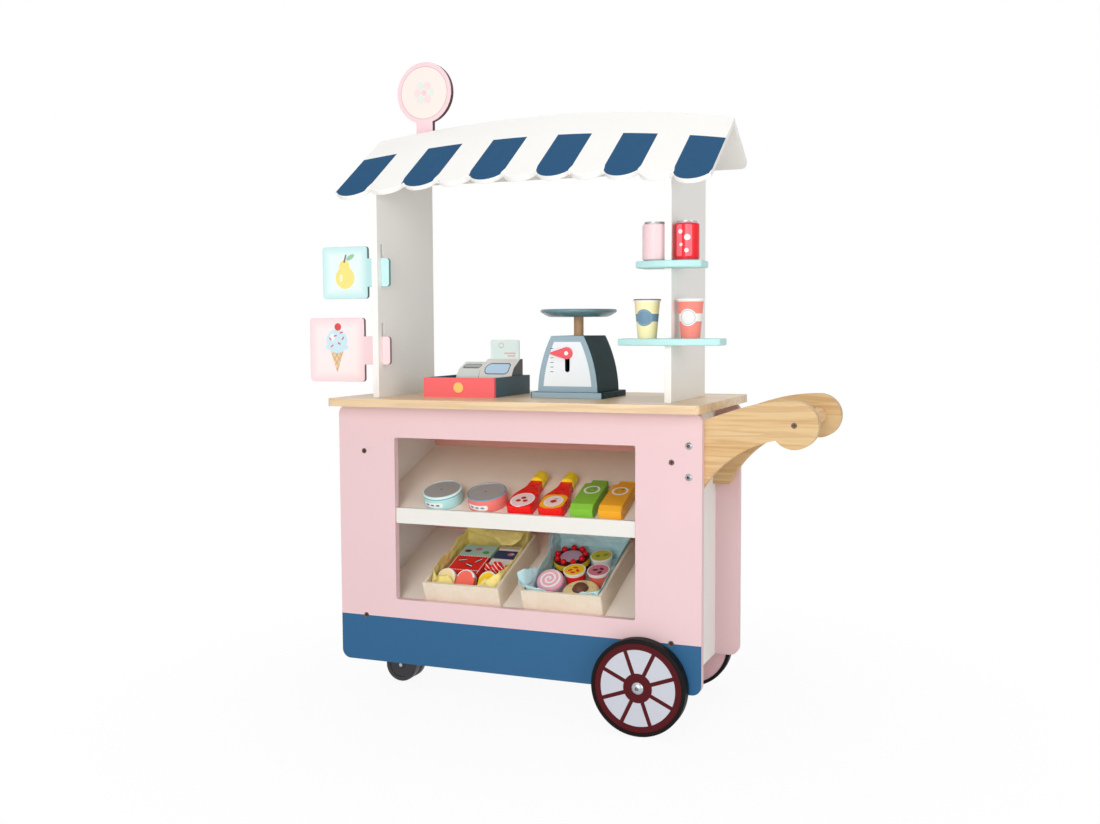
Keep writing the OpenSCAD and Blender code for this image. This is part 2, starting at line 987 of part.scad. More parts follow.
// Menu signs: a plate, a neck through the post's slot and a notch that hooks on its lower edge
module menu_sign(w, h, drop, slot_rise, reach) {
    slot_z = counter_z + slot_rise;
    post_out = -post_x - post_t / 2;
    neck_x = post_out - reach;
    neck_len = reach + post_t + sign_tab;
    upright(sign_y - sign_t / 2, sign_t) difference() {
        union() {
            translate([neck_x - w / 2, slot_z - drop + h / 2]) rounded_rect(w, h, sign_r);
            translate([neck_x - sign_r, slot_z - sign_hook]) square([sign_r + neck_len - sign_r, sign_neck_h]);
            translate([neck_x + neck_len - 2 * sign_r, slot_z - sign_hook + sign_neck_h / 2])
                rounded_rect(4 * sign_r, sign_neck_h, sign_r);
        }
        translate([post_out - move_gap, slot_z - sign_hook - overrun])
            square([post_t + 2 * move_gap, sign_hook + overrun]);
    }
}

module menu_sign_upper() {
    color(mint) menu_sign(upper_sign_w, upper_sign_h, upper_sign_drop, upper_slot_rise, upper_neck_len);
}

module menu_sign_lower() {
    color(pink) menu_sign(lower_sign_w, lower_sign_h, lower_sign_drop, lower_slot_rise, lower_neck_len);
}

// Scale

module scale_base() {
    color(slate) translate([scale_x, scale_y, counter_z]) linear_extrude(foot_t)
        rounded_rect(scale_w, scale_d, foot_r);
}

// Tapered front with bowed sides, drawn in x and z from the foot up
module housing_outline(inset) {
    base_w = housing_base_w - 2 * inset;
    top_w = housing_top_w - 2 * inset;
    height = housing_h - inset;
    lean = atan((base_w - top_w) / 2 / height);
    side_len = height / cos(lean);
    bow_r = (pow(side_len / 2, 2) + pow(housing_bulge, 2)) / (2 * housing_bulge);
    polygon([[-base_w / 2, 0], [base_w / 2, 0], [top_w / 2, height], [-top_w / 2, height]]);
    intersection() {
        translate([-base_w, 0]) square([2 * base_w, height]);
        for (side = [-1, 1])
            intersection() {
                translate([side * (base_w + top_w) / 4, height / 2]) rotate(side * lean)
                    translate([side * (housing_bulge - bow_r), 0]) circle(bow_r, $fn = 128);
                translate([side < 0 ? -base_w : 0, 0]) square([base_w, height]);
            }
    }
}

module scale_housing() {
    color(slate) difference() {
        translate([scale_x, 0, housing_z0]) upright(scale_y - housing_d / 2, housing_d) housing_outline(0);
        translate([scale_x, 0, housing_z0 - overrun]) {
            upright(scale_y - housing_d / 2 + housing_wall, housing_d - 2 * housing_wall) {
                housing_outline(housing_wall);
                translate([housing_wall - housing_base_w / 2, 0])
                    square([housing_base_w - 2 * housing_wall, overrun]);
            }
        }
        translate([scale_x, scale_y, housing_z0]) cylinder(h = housing_h + overrun, r = stem_d / 2 + move_gap);
        upright(scale_y - housing_d, housing_d) pointer_slot();
    }
}

module pointer_slot() {
    for (z = [pointer_z, pointer_z - pan_travel])
        translate([scale_x, z]) circle(pointer_slot_w / 2);
    translate([scale_x - pointer_slot_w / 2, pointer_z - pan_travel]) square([pointer_slot_w, pan_travel]);
}

// Shallow turned dish with a rolled edge and a socket for the stem
module scale_pan() {
    edge_r = pan_wall / 2;
    color(slate) translate([scale_x, scale_y, pan_z0]) rotate_extrude($fn = 96) difference() {
        union() {
            polygon([
                [0, 0],
                [pan_foot_d / 2, 0],
                [pan_d / 2, pan_h - 2 * edge_r],
                [pan_d / 2 - edge_r, pan_h - edge_r],
                [pan_foot_d / 2 - edge_r, pan_wall],
                [0, pan_wall]]);
            translate([pan_d / 2 - edge_r, pan_h - edge_r]) circle(edge_r);
        }
        square([stem_d / 2 + fit, pan_socket]);
        translate([-pan_d, -pan_h]) square([pan_d, 3 * pan_h]);
    }
}

module scale_stem() {
    color(pine) difference() {
        translate([scale_x, scale_y, stem_z0])
            cylinder(h = pan_z0 + pan_socket - stem_z0, d = stem_d);
        pointer_pin(fit);
    }
}

module pointer_pin(gap) {
    pin_y0 = scale_y - housing_d / 2 - move_gap;
    pin_y1 = scale_y - stem_d / 2 + pointer_pin_in;
    upright(pin_y0, pin_y1 - pin_y0 + gap) translate([scale_x, pointer_z]) circle(pointer_pin_r + gap);
}

// Teardrop hand and the pin that joins it to the stem through the slot
module scale_pointer() {
    color(red) {
        upright(scale_y - housing_d / 2 - move_gap - pointer_t, pointer_t) {
            translate([scale_x, pointer_z]) circle(pointer_r);
            lean = asin((pointer_r - pointer_tip_r) / pointer_len);
            polygon([
                [scale_x - pointer_r * sin(lean), pointer_z + pointer_r * cos(lean)],
                [scale_x - pointer_len - pointer_tip_r * sin(lean), pointer_z + pointer_tip_r * cos(lean)],
                [scale_x - pointer_len - pointer_tip_r * sin(lean), pointer_z - pointer_tip_r * cos(lean)],
                [scale_x - pointer_r * sin(lean), pointer_z - pointer_r * cos(lean)]]);
            translate([scale_x - pointer_len, pointer_z]) circle(pointer_tip_r);
        }
        pointer_pin(0);
    }
}

// Open coil spring from the foot to the stem's end, swept along a helix
spring_low = housing_z0 + spring_wire_r + run_gap;
spring_high = stem_z0 - spring_wire_r - run_gap;
spring_pitch = (spring_high - spring_low) / spring_turns;

function spring_ring(i) =
    let (turn = 360 * i / spring_rings, z = spring_low + spring_pitch * i / spring_rings)
    [for (k = [0 : spring_sides - 1])
        let (a = 360 * k / spring_sides, r = spring_r + spring_wire_r * cos(a))
        [scale_x + r * cos(turn), scale_y + r * sin(turn), z + spring_wire_r * sin(a)]];

module scale_spring() {
    last = spring_turns * spring_rings;
    points = [for (i = [0 : last], point = spring_ring(i)) point];
    sides = [for (i = [0 : last - 1], k = [0 : spring_sides - 1])
        let (here = i * spring_sides, next = here + spring_sides, k2 = (k + 1) % spring_sides)
        each [[here + k, next + k, next + k2], [here + k, next + k2, here + k2]]];
    start = [for (k = [1 : spring_sides - 2]) [0, k, k + 1]];
    end = [for (k = [1 : spring_sides - 2])
        [last * spring_sides, last * spring_sides + k + 1, last * spring_sides + k]];
    echo(least_spring_gap = spring_pitch - 2 * spring_wire_r);
    color(steel) polyhedron(points, concat(sides, start, end));
}

// Till

module cash_tray() {
    color(red) difference() {
        translate([tray_x, tray_y, counter_z + tray_h / 2]) cube([tray_w, tray_d, tray_h], center = true);
        translate([tray_x, tray_y, counter_z + tray_floor + tray_h / 2])
            cube([tray_w - 2 * tray_wall, tray_d - 2 * tray_wall, tray_h], center = true);
    }
    color("gold") upright(tray_y - tray_d / 2 - coin_t, coin_t)
        translate([tray_x, counter_z + tray_h / 2]) circle(coin_r);
}

// Side view of one half of the till: upright below, then sloped back to a rounded brow
module till_outline(height) {
    front = till_back - till_d;
    brow_z = till_z0 + till_brow;
    top_z = till_z0 + height;
    polygon([
        [till_back, till_z0],
        [till_back, top_z],
        [till_back - till_crown, top_z],
        [front + till_crown, (brow_z + top_z) / 2],
        [front, brow_z],
        [front, till_z0]]);
}

module till_block() {
    seam = till_x - (printer_w + screen_w) / 2 + printer_w;
    color("lightgrey") difference() {
        union() {
            lengthwise(seam - printer_w, printer_w) till_outline(printer_h);
            lengthwise(seam, screen_w) till_outline(screen_h);
        }
        translate([seam - printer_w / 2, till_back - till_crown, till_z0 + printer_h - paper_slot_depth])
            linear_extrude(paper_slot_depth + overrun) rounded_rect(paper_slot_w, paper_slot_d, paper_slot_d / 3);
        translate([seam + screen_w / 2, till_back - card_set, till_z0 + screen_h - card_slot_depth])
            linear_extrude(card_slot_depth + overrun)
                square([card_w + 2 * move_gap, card_t + 2 * move_gap], center = true);
    }
}

module payment_card() {
    seam = till_x - (printer_w + screen_w) / 2 + printer_w;
    z0 = till_z0 + screen_h - card_slot_depth;
    color(mint) upright(till_back - card_set - card_t / 2, card_t)
        translate([seam + screen_w / 2, z0 + card_h / 2]) rounded_rect(card_w, card_h, card_t);
}

// Goods on the side shelves

module can(x) {
    neck_r = can_d / 2 - can_neck_in;
    translate([x, goods_y, counter_z + upper_shelf_rise + side_shelf_t]) rotate_extrude() polygon([
        [0, 0],
        [neck_r, 0],
        [can_d / 2, can_neck_in],
        [can_d / 2, can_h - can_neck_h],
        [neck_r, can_h - can_neck_in / 2],
        [neck_r, can_h],
        [neck_r - can_neck_in / 2, can_h],
        [neck_r - can_neck_in / 2, can_h - can_neck_in / 2],
        [0, can_h - can_neck_in / 2]]);
}

module pink_can() {
    color(pink) can(post_x - post_t / 2 - goods_gap - can_d / 2);
}

module red_can() {
    color(red) can(post_x + post_t / 2 + goods_gap + can_d / 2);
}

// Tapered cup with a rolled rim and a shallow lid recess
module cup(x) {
    foot_r = cup_foot_d / 2;
    top_r = cup_d / 2 - cup_rim_r;
    translate([x, cup_y, counter_z + lower_shelf_rise + side_shelf_t]) rotate_extrude() {
        polygon([
            [0, 0],
            [foot_r, 0],
            [top_r, cup_h - cup_rim_r],
            [top_r - cup_rim_r, cup_h - cup_rim_r],
            [top_r - 2 * cup_rim_r, cup_h - 2 * cup_rim_r],
            [0, cup_h - 2 * cup_rim_r]]);
        translate([top_r, cup_h - cup_rim_r]) circle(cup_rim_r);
    }
}

module yellow_cup() {
    color("khaki") cup(post_x - post_t / 2 - cup_gap - cup_d * 3 / 4);
}

module coral_cup() {
    color("coral") cup(post_x + post_t / 2 + cup_gap + cup_d / 2);
}

// Goods on the display shelf

module tin(x) {
    on_slope(shelf_z) translate([x, shelf_stop_s + tin_d / 2, 0]) rotate_extrude() polygon([
        [0, tin_rim],
        [tin_d / 2 - 2 * tin_rim, tin_rim],
        [tin_d / 2 - 2 * tin_rim, 0],
        [tin_d / 2 - tin_rim, 0],
        [tin_d / 2, tin_rim],
        [tin_d / 2, tin_h - tin_rim],
        [tin_d / 2 - tin_rim, tin_h],
        [tin_d / 2 - 2 * tin_rim, tin_h],
        [tin_d / 2 - 2 * tin_rim, tin_h - tin_rim],
        [0, tin_h - tin_rim]]);
}

module mint_tin() {
    color(mint) tin(mint_tin_x);
}

module coral_tin() {
    color("coral") tin(coral_tin_x);
}

// Flat wooden bottle lying on its back, with curved shoulders and a round cap
module bottle_outline() {
    body_y = bottle_len * bottle_body_share;
    neck_y = bottle_len * bottle_neck_share;
    flank = [for (i = [0 : bottle_steps])
        let (share = i / bottle_steps)
        [(bottle_neck_w + (bottle_w - bottle_neck_w) * (1 + cos(180 * share)) / 2) / 2,
            body_y + (neck_y - body_y) * share]];
    translate([0, body_y / 2]) rounded_rect(bottle_w, body_y, bottle_r);
    polygon(concat(
        [[-bottle_w / 2, body_y - bottle_r]],
        [[bottle_w / 2, body_y - bottle_r]],
        flank,
        [for (i = [0 : bottle_steps]) [-flank[bottle_steps - i][0], flank[bottle_steps - i][1]]]));
    translate([-bottle_neck_w / 2, neck_y - overrun])
        square([bottle_neck_w, bottle_len * bottle_cap_share - neck_y + 2 * overrun]);
}

module bottle(x) {
    cap_y = bottle_len * bottle_cap_share;
    cap_len = bottle_len - cap_y;
    on_slope(shelf_z)
        translate([x, shelf_stop_s + bottle_w / 2 * sin(bottle_lean), 0]) rotate([0, 0, bottle_lean]) {
            linear_extrude(bottle_t) bottle_outline();
            translate([0, cap_y, bottle_cap_r]) rotate([-90, 0, 0]) rotate_extrude() {
                square([bottle_cap_r, cap_len - bottle_cap_tip]);
                square([bottle_cap_r - bottle_cap_tip, cap_len]);
                intersection() {
                    translate([bottle_cap_r - bottle_cap_tip, cap_len - bottle_cap_tip]) circle(bottle_cap_tip);
                    square([bottle_cap_r, bottle_len]);
                }
            }
        }
}

module left_bottle() {
    color("crimson") bottle(bottle_xs[0]);
}

module right_bottle() {
    color("crimson") bottle(bottle_xs[1]);
}

// Gable-topped drink carton lying on its back
module carton(x) {
    shoulder = carton_len - carton_fin - carton_slope;
    on_slope(shelf_z) translate([x, shelf_stop_s, 0]) {
        intersection() {
            lengthwise(-carton_w / 2, carton_w) polygon([
                [0, 0],
                [carton_len, (carton_t - carton_top_t) / 2],
                [carton_len, (carton_t + carton_top_t) / 2],
                [shoulder + carton_slope, (carton_t + carton_top_t) / 2],
                [shoulder, carton_t],
                [carton_slope, carton_t],
                [0, carton_t - carton_slope / 2]]);
            linear_extrude(carton_t) polygon([
                [-carton_w / 2, 0],
                [carton_w / 2, 0],
                [carton_w / 2, shoulder],
                [carton_top_w / 2, shoulder + carton_slope],
                [carton_top_w / 2, carton_len],
                [-carton_top_w / 2, carton_len],
                [-carton_top_w / 2, shoulder + carton_slope],
                [-carton_w / 2, shoulder]]);
        }
    }
}

module green_carton() {
    color("limegreen") carton(green_carton_x);
}

module orange_carton() {
    color("orange") carton(orange_carton_x);
}

// Crates

module in_crate(x) {
    on_slope(floor_z) translate([x, floor_stop_s + crate_len / 2, 0]) children();
}

module crate(x) {
    color("burlywood") in_crate(x) difference() {
        linear_extrude(crate_h) rounded_rect(crate_w, crate_len, crate_r);
        translate([0, 0, crate_floor]) linear_extrude(crate_h)
            square([crate_w - 2 * crate_wall, crate_len - 2 * crate_wall], center = true);
    }
}

module left_crate() {
    crate(left_crate_x);
}

module right_crate() {
    crate(right_crate_x);
}

// One wall of a paper liner, with a waving upper edge
module liner_wall(len, height) {
    linear_extrude(liner_t) polygon(concat(
        [[-len / 2, 0]],
        [[len / 2, 0]],
        [for (i = [0 : liner_steps])
            let (share = 1 - i / liner_steps)
            [(share - 1 / 2) * len, height + liner_wave * sin(360 * liner_waves * share)]]));
}

module liner(x) {
    w = bed_w + 2 * liner_t;
    len = bed_len + 2 * liner_t;
    low = crate_h - crate_floor - liner_over;
    in_crate(x) translate([0, 0, crate_floor + liner_gap]) {
        translate([0, 0, liner_t / 2]) cube([w, len, liner_t], center = true);
        translate([0, liner_t - len / 2, 0]) rotate([90, 0, 0]) liner_wall(w, low - liner_wave);
        translate([0, len / 2, 0]) rotate([90, 0, 0]) liner_wall(w, low + liner_tall);
        for (sx = [-1, 1])
            translate([sx * (w / 2 - liner_t / 2) - liner_t / 2, 0, 0]) rotate([90, 0, 90])
                liner_wall(len, low + liner_over);
    }
}

module left_crate_liner() {
    color("khaki") liner(left_crate_x);
}

module right_crate_liner() {
    color("lightblue") liner(right_crate_x);
}

// A place on the liner's floor, in shares of its width and length
module on_bed(x, shares) {
    in_crate(x) translate([(shares[0] - 1 / 2) * bed_w, (shares[1] - 1 / 2) * bed_len, bed_z]) children();
}

module rounded_block(w, d, h, r) {
    translate([0, 0, h / 2]) rotate([90, 0, 0]) linear_extrude(d, center = true) rounded_rect(w, h, r);
}

// Turns a piece up on its front lower edge
module propped(front, tilt) {
    translate([0, -front, 0]) rotate([tilt, 0, 0]) translate([0, front, 0]) children();
}

left_box_shares = [0.328, 0.55];
left_box = [56, 84, 23];
small_box_shares = [0.78, 0.66];
small_box = [40, 60, 22];
box_r = 1.5;
sweet_shares = [0.80, 0.39];
sweet_r = 10;
sweet_len = 18;
sweet_twist = 9;
lolly_shares = [[0.19, 0.16], [0.475, 0.16], [0.80, 0.16]];
lolly_w = 31;
lolly_len = 28;
lolly_t = 18;
lolly_tilt = 28;

// Two boxes, a wrapped sweet and three round-topped ice lollies
module left_crate_goods() {
    x = left_crate_x;
    color(mint) on_bed(x, left_box_shares) rounded_block(left_box[0], left_box[1], left_box[2], box_r);
    color("navy") on_bed(x, small_box_shares) rounded_block(small_box[0], small_box[1], small_box[2], box_r);
    color(red) on_bed(x, sweet_shares) translate([0, 0, sweet_r]) rotate([0, 90, 0]) rotate_extrude() polygon([
        [0, -sweet_len / 2 - sweet_twist],
        [sweet_r * 3 / 4, -sweet_len / 2 - sweet_twist],
        [sweet_r / 4, -sweet_len / 2],
        [sweet_r, -sweet_len / 4],
        [sweet_r, sweet_len / 4],
        [sweet_r / 4, sweet_len / 2],
        [sweet_r * 3 / 4, sweet_len / 2 + sweet_twist],
        [0, sweet_len / 2 + sweet_twist]]);
    color("wheat") for (shares = lolly_shares)
        on_bed(x, shares) propped(lolly_len / 2, lolly_tilt) linear_extrude(lolly_t) {
            translate([0, -lolly_len / 4]) square([lolly_w, lolly_len / 2], center = true);
            intersection() {
                circle(lolly_w / 2);
                translate([-lolly_w / 2, 0]) square([lolly_w, lolly_w / 2]);
            }
        }
}

cake_shares = [0.27, 0.76];
cake_d = 57;
cake_h = 20;
cake_r = 3;
berry_n = 9;
berry_r = 4.6;
pot_d = 35;
pot_foot_d = 29;
pot_h = 24;
pot_rim = 2;
pot_shares = [[0.70, 0.77], [0.455, 0.47], [0.78, 0.495]];
swirl_shares = [0.20, 0.32];
swirl_d = 42;
swirl_h = 18;
swirl_tilt = 22;
pie_shares = [0.665, 0.19];
pie_d = 56;
pie_h = 19;
pie_dome_d = 25;
pie_dome_h = 9;

module round_loaf(d, h, r) {
    rotate_extrude() {
        square([d / 2 - r, h]);
        square([d / 2, h - r]);
        intersection() {
            translate([d / 2 - r, h - r]) circle(r);
            square([d, h]);
        }
    }
}

// Cake with berries, three pots, a swirl sweet and a pie with a dome
module right_crate_goods() {
    x = right_crate_x;
    color("gold") on_bed(x, cake_shares) {
        round_loaf(cake_d, cake_h, cake_r);
        for (i = [0 : berry_n - 1])
            rotate(360 * i / berry_n) translate([cake_d / 2 - berry_r - cake_r / 2, 0, cake_h + berry_r / 2])
                sphere(berry_r);
    }
    color("white") for (shares = pot_shares)
        on_bed(x, shares) rotate_extrude() polygon([
            [0, 0],
            [pot_foot_d / 2, 0],
            [pot_d / 2 - pot_rim / 2, pot_h - pot_rim],
            [pot_d / 2, pot_h - pot_rim],
            [pot_d / 2, pot_h],
            [0, pot_h]]);
    color("plum") on_bed(x, swirl_shares) propped(swirl_d / 2, swirl_tilt)
        round_loaf(swirl_d, swirl_h, swirl_h / 3);
    color("wheat") on_bed(x, pie_shares) {
        round_loaf(pie_d, pie_h, pie_h / 3);
        translate([0, 0, pie_h]) dome(pie_dome_d / 2, pie_dome_h);
    }
}

placed() front_panel();
placed() rear_panel();
placed() left_side_panel();
placed() right_side_panel();
placed() base_board();
placed() display_floor();
placed() display_shelf();
placed() shelf_lip();
placed() countertop();
placed() left_post();
placed() right_post();
placed() upper_side_shelf();
placed() lower_side_shelf();
placed() awning_front();
placed() awning_rear();
placed() roundel_sign();
placed() handle_arm_front();
placed() handle_arm_rear();
placed() grip_bar();
placed() axle_beam();
placed() wood_screws();
placed() cabinet_bolts();
placed() axle_bolts();
placed() axle_washers();
placed() caster_plate();
placed() front_wheel();
placed() front_tyre();
placed() rear_wheel();
placed() rear_tyre();
placed() caster_hood();
placed() caster_axle();
placed() caster_wheel_left();
placed() caster_wheel_right();
placed() menu_sign_upper();
placed() menu_sign_lower();
placed() scale_base();
placed() scale_housing();
placed() scale_pan();
placed() scale_stem();
placed() scale_pointer();
placed() scale_spring();
placed() cash_tray();
placed() till_block();
placed() payment_card();
placed() pink_can();
placed() red_can();
placed() yellow_cup();
placed() coral_cup();
placed() mint_tin();
placed() coral_tin();
placed() left_bottle();
placed() right_bottle();
placed() green_carton();
placed() orange_carton();
placed() left_crate();
placed() right_crate();
placed() left_crate_liner();
placed() right_crate_liner();
placed() left_crate_goods();
placed() right_crate_goods();
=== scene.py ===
import json
import math

import bmesh
import bpy
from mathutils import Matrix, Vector, noise


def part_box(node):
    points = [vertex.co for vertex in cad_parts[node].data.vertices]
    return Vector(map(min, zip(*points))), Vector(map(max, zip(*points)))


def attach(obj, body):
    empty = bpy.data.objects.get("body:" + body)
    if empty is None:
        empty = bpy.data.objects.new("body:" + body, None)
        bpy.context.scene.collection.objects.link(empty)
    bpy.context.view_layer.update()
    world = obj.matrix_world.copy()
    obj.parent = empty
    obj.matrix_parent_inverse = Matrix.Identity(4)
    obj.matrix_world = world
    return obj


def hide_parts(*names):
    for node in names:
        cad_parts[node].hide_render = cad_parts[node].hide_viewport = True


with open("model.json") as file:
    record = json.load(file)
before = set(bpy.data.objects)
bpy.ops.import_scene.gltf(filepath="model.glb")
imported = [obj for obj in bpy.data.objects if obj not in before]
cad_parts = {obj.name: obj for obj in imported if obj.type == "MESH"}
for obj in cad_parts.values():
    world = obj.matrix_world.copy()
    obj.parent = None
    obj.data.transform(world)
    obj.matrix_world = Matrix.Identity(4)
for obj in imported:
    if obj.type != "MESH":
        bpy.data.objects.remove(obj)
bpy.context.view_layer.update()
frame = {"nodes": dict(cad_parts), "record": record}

mm = 0.001
bodyOf = {node: body for body, nodes in frame["record"]["behaviour"]["bodies"].items() for node in nodes}


def ink(hexColour):
    channels = [int(hexColour[i:i + 2], 16) / 255 for i in (1, 3, 5)]
    linear = [c / 12.92 if c <= 0.04045 else ((c + 0.055) / 1.055) ** 2.4 for c in channels]
    return (*linear, 1.0)


def shade(hexColour, factor):
    return (*(channel * factor for channel in ink(hexColour)[:3]), 1.0)


# corners and middle of a node in millimetres
def corners(node):
    low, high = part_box(node)
    return low / mm, high / mm


def middle(node):
    low, high = corners(node)
    return (low + high) / 2


def lengths(settings, *names):
    return {name: settings[name] * mm for name in names or settings}


def heading(degrees):
    return Vector((math.cos(math.radians(degrees)), math.sin(math.radians(degrees))))


# a method that adds a Math node; flipped serves the reflected operators
def mathNode(operation, flipped=False):
    def apply(self, *others):
        values = (*others, self) if flipped else (self, *others)
        return self.math(operation, *values)
    return apply


# a node tree's output socket; sums and products of sockets add Math nodes
class Signal:
    def __init__(self, tree, socket):
        self.tree = tree
        self.socket = socket

    def node(self, kind, inputs=None, out=0, **settings):
        made = self.tree.nodes.new(kind)
        for name, value in settings.items():
            setattr(made, name, value)
        for key, value in (inputs or {}).items():
            self.feed(made.inputs[key], value)
        return Signal(self.tree, made.outputs[out])

    def feed(self, target, value):
        if isinstance(value, Signal):
            self.tree.links.new(value.socket, target)
        else:
            target.default_value = value

    def math(self, operation, *values, **settings):
        return self.node("ShaderNodeMath", dict(enumerate(values)), operation=operation, **settings)

    def clamped(self, scale=1.0, shift=0.0):
        return self.math("MULTIPLY_ADD", self, scale, shift, use_clamp=True)

    __add__ = mathNode("ADD")
    __radd__ = mathNode("ADD", flipped=True)
    __sub__ = mathNode("SUBTRACT")
    __rsub__ = mathNode("SUBTRACT", flipped=True)
    __mul__ = mathNode("MULTIPLY")
    __rmul__ = mathNode("MULTIPLY", flipped=True)
    __truediv__ = mathNode("DIVIDE")
    __rtruediv__ = mathNode("DIVIDE", flipped=True)
    __pow__ = mathNode("POWER")
    __gt__ = mathNode("GREATER_THAN")
    __abs__ = mathNode("ABSOLUTE")
    root = mathNode("SQRT")
    floor = mathNode("FLOOR")
    sine = mathNode("SINE")
    exponent = mathNode("EXPONENT")
    atLeast = mathNode("MAXIMUM")
    atMost = mathNode("MINIMUM")
    angleFrom = mathNode("ARCTAN2")
    wrap = mathNode("FLOORED_MODULO")


# painted shapes: signals in millimetres in, a mask of 0 to 1 out
edgeSoft = 0.25


def inside(distance):
    return distance.clamped(-1 / edgeSoft, 0.5)


def below(value, limit):
    return inside(value - limit)


def above(value, limit):
    return inside(limit - value)


def between(value, low, high):
    return inside(abs(value - (low + high) / 2) - (high - low) / 2)


def span(u, v):
    return (u * u + v * v).root()


def disc(u, v, radius):
    return inside(span(u, v) - radius)


def oval(u, v, halfW, halfH):
    return inside((span(u / halfW, v / halfH) - 1) * min(halfW, halfH))


def band(u, v, radius, width):
    return inside(abs(span(u, v) - radius) - width / 2)


def plate(u, v, width, height, corner):
    du = (abs(u) - (width / 2 - corner)).atLeast(0)
    dv = (abs(v) - (height / 2 - corner)).atLeast(0)
    return inside(span(du, dv) - corner)


def stroke(u, v, start, end, width):
    run, rise = end[0] - start[0], end[1] - start[1]
    along = ((u - start[0]) * run + (v - start[1]) * rise).clamped(1 / (run * run + rise * rise))
    return inside(span(u - start[0] - along * run, v - start[1] - along * rise) - width / 2)


def turned(u, v, degrees):
    c, s = math.cos(math.radians(degrees)), math.sin(math.radians(degrees))
    return u * c + v * s, v * c - u * s


# the front and rear face of a board
def facesOf(y, low, high, depth):
    return below(y, low.y + depth).atLeast(above(y, high.y - depth))


# lays paints over a base, each through its mask; a paint is a hex code, a colour or a signal
def over(base, *layers):
    for colour, mask in layers:
        lower, upper = [ink(tone) if isinstance(tone, str) else tone for tone in (base, colour)]
        base = mask.node("ShaderNodeMix", {0: mask, 6: lower, 7: upper}, out=2, data_type="RGBA")
    return base


# materials
def startMaterial(name):
    material = bpy.data.materials.new(name)
    material.use_nodes = True
    tree = material.node_tree
    place = Signal(tree, tree.nodes.new("ShaderNodeTexCoord").outputs["Object"])
    return material, tree.nodes["Principled BSDF"], place


def split(vector):
    parts = vector.node("ShaderNodeSeparateXYZ", {0: vector}).socket.node.outputs
    return [Signal(vector.tree, part) for part in parts]


def scaled(vector, factor):
    return vector.node("ShaderNodeVectorMath", {0: vector, "Scale": factor}, operation="SCALE")


def mapped(place, scale, rotation=(0, 0, 0)):
    turn = [math.radians(angle) for angle in rotation]
    return place.node("ShaderNodeMapping", {"Vector": place, "Rotation": turn, "Scale": scale})


def grit(place, scale, detail=2.0, roughness=0.5, distortion=0.0, out=0):
    return place.node("ShaderNodeTexNoise", {"Vector": place, "Scale": scale, "Detail": detail,
                                             "Roughness": roughness, "Distortion": distortion}, out)


def settle(shader, place, colour, roughness, height=None, depth=0.0001, **fixed):
    place.feed(shader.inputs["Base Color"], colour)
    place.feed(shader.inputs["Roughness"], roughness)
    if height is not None:
        bump = place.node("ShaderNodeBump", {"Strength": 1.0, "Distance": depth, "Height": height})
        place.feed(shader.inputs["Normal"], bump)
    for name, value in fixed.items():
        shader.inputs[name.replace("_", " ")].default_value = value


lacquerFinish = {"driftScale": 9, "drift": 0.965, "peelScale": 900, "peelDepth": 0.00003, "wearScale": 60,
                 "wear": 0.10, "gloss": 0.22}


# satin paint on board: slow drift of tone, fine orange peel, and whatever is printed on it
def lacquer(name, tone, decorate=None, roughness=0.42, shine=None, gloss=lacquerFinish["gloss"]):
    material, shader, place = startMaterial(name)
    drift = grit(place, lacquerFinish["driftScale"], 3)
    colour = over(shade(tone, lacquerFinish["drift"]), (tone, drift))
    if decorate:
        where = split(scaled(place, 1 / mm))
        colour = decorate(colour, *where)
    peel = grit(place, lacquerFinish["peelScale"])
    rough = roughness + (grit(place, lacquerFinish["wearScale"], 3) - 0.5) * lacquerFinish["wear"]
    settle(shader, place, colour, rough, peel, lacquerFinish["peelDepth"], Specular_IOR_Level=gloss)
    if shine:
        place.feed(shader.inputs["Metallic"], shine(*where))
    return material


pineFinish = {"pale": "#EED2A6", "mid": "#E2BA86", "dark": "#C08C54", "along": 1.5, "across": 42, "pore": 420,
              "poreStretch": 26, "ringCount": 42, "ringPower": 2.2, "rings": 0.36, "pores": 0.4, "gloss": 0.3,
              "waver": 0.5, "depth": 0.00008}


# clear-lacquered pine with its grain along one axis
def pine(name, grainAxis, tilt=(0, 0, 0), roughness=0.45, **changes):
    tones = dict(pineFinish, **changes)
    material, shader, place = startMaterial(name)
    stretch = [tones["across"]] * 3
    stretch[grainAxis] = tones["along"]
    figure = grit(mapped(place, stretch, tilt), 1.0, 4, 0.55, tones["waver"])
    rings = ((figure * tones["ringCount"]).sine() * 0.5 + 0.5) ** tones["ringPower"]
    fibre = [tones["pore"]] * 3
    fibre[grainAxis] = tones["pore"] / tones["poreStretch"]
    pore = grit(mapped(place, fibre, tilt), 1.0, 3, 0.6)
    colour = over(tones["mid"], (tones["pale"], figure.clamped(2.4, -0.7)),
                  (tones["dark"], rings * tones["rings"]),
                  (shade(tones["dark"], 0.75), pore.clamped(5.0, -3.0) * tones["pores"]))
    settle(shader, place, colour, roughness + pore * 0.12, pore + rings * 0.4, tones["depth"],
           Specular_IOR_Level=tones["gloss"])
    return material


def rubber(name, tone, dustTone):
    material, shader, place = startMaterial(name)
    dust = grit(place, 55, 4, 0.6)
    colour = over(tone, (dustTone, dust.clamped(2.0, -1.1) * 0.3))
    pores = grit(place, 700, 3, 0.6)
    settle(shader, place, colour, 0.42 + dust * 0.2, pores, 0.00025, Specular_IOR_Level=0.12)
    return material


def plastic(name, tone):
    material, shader, place = startMaterial(name)
    spark = grit(place, 1600)
    colour = over(tone, (shade(tone, 1.9), grit(place, 30, 3) * 0.5))
    settle(shader, place, colour, 0.36 + spark * 0.12, spark, 0.00005)
    return material


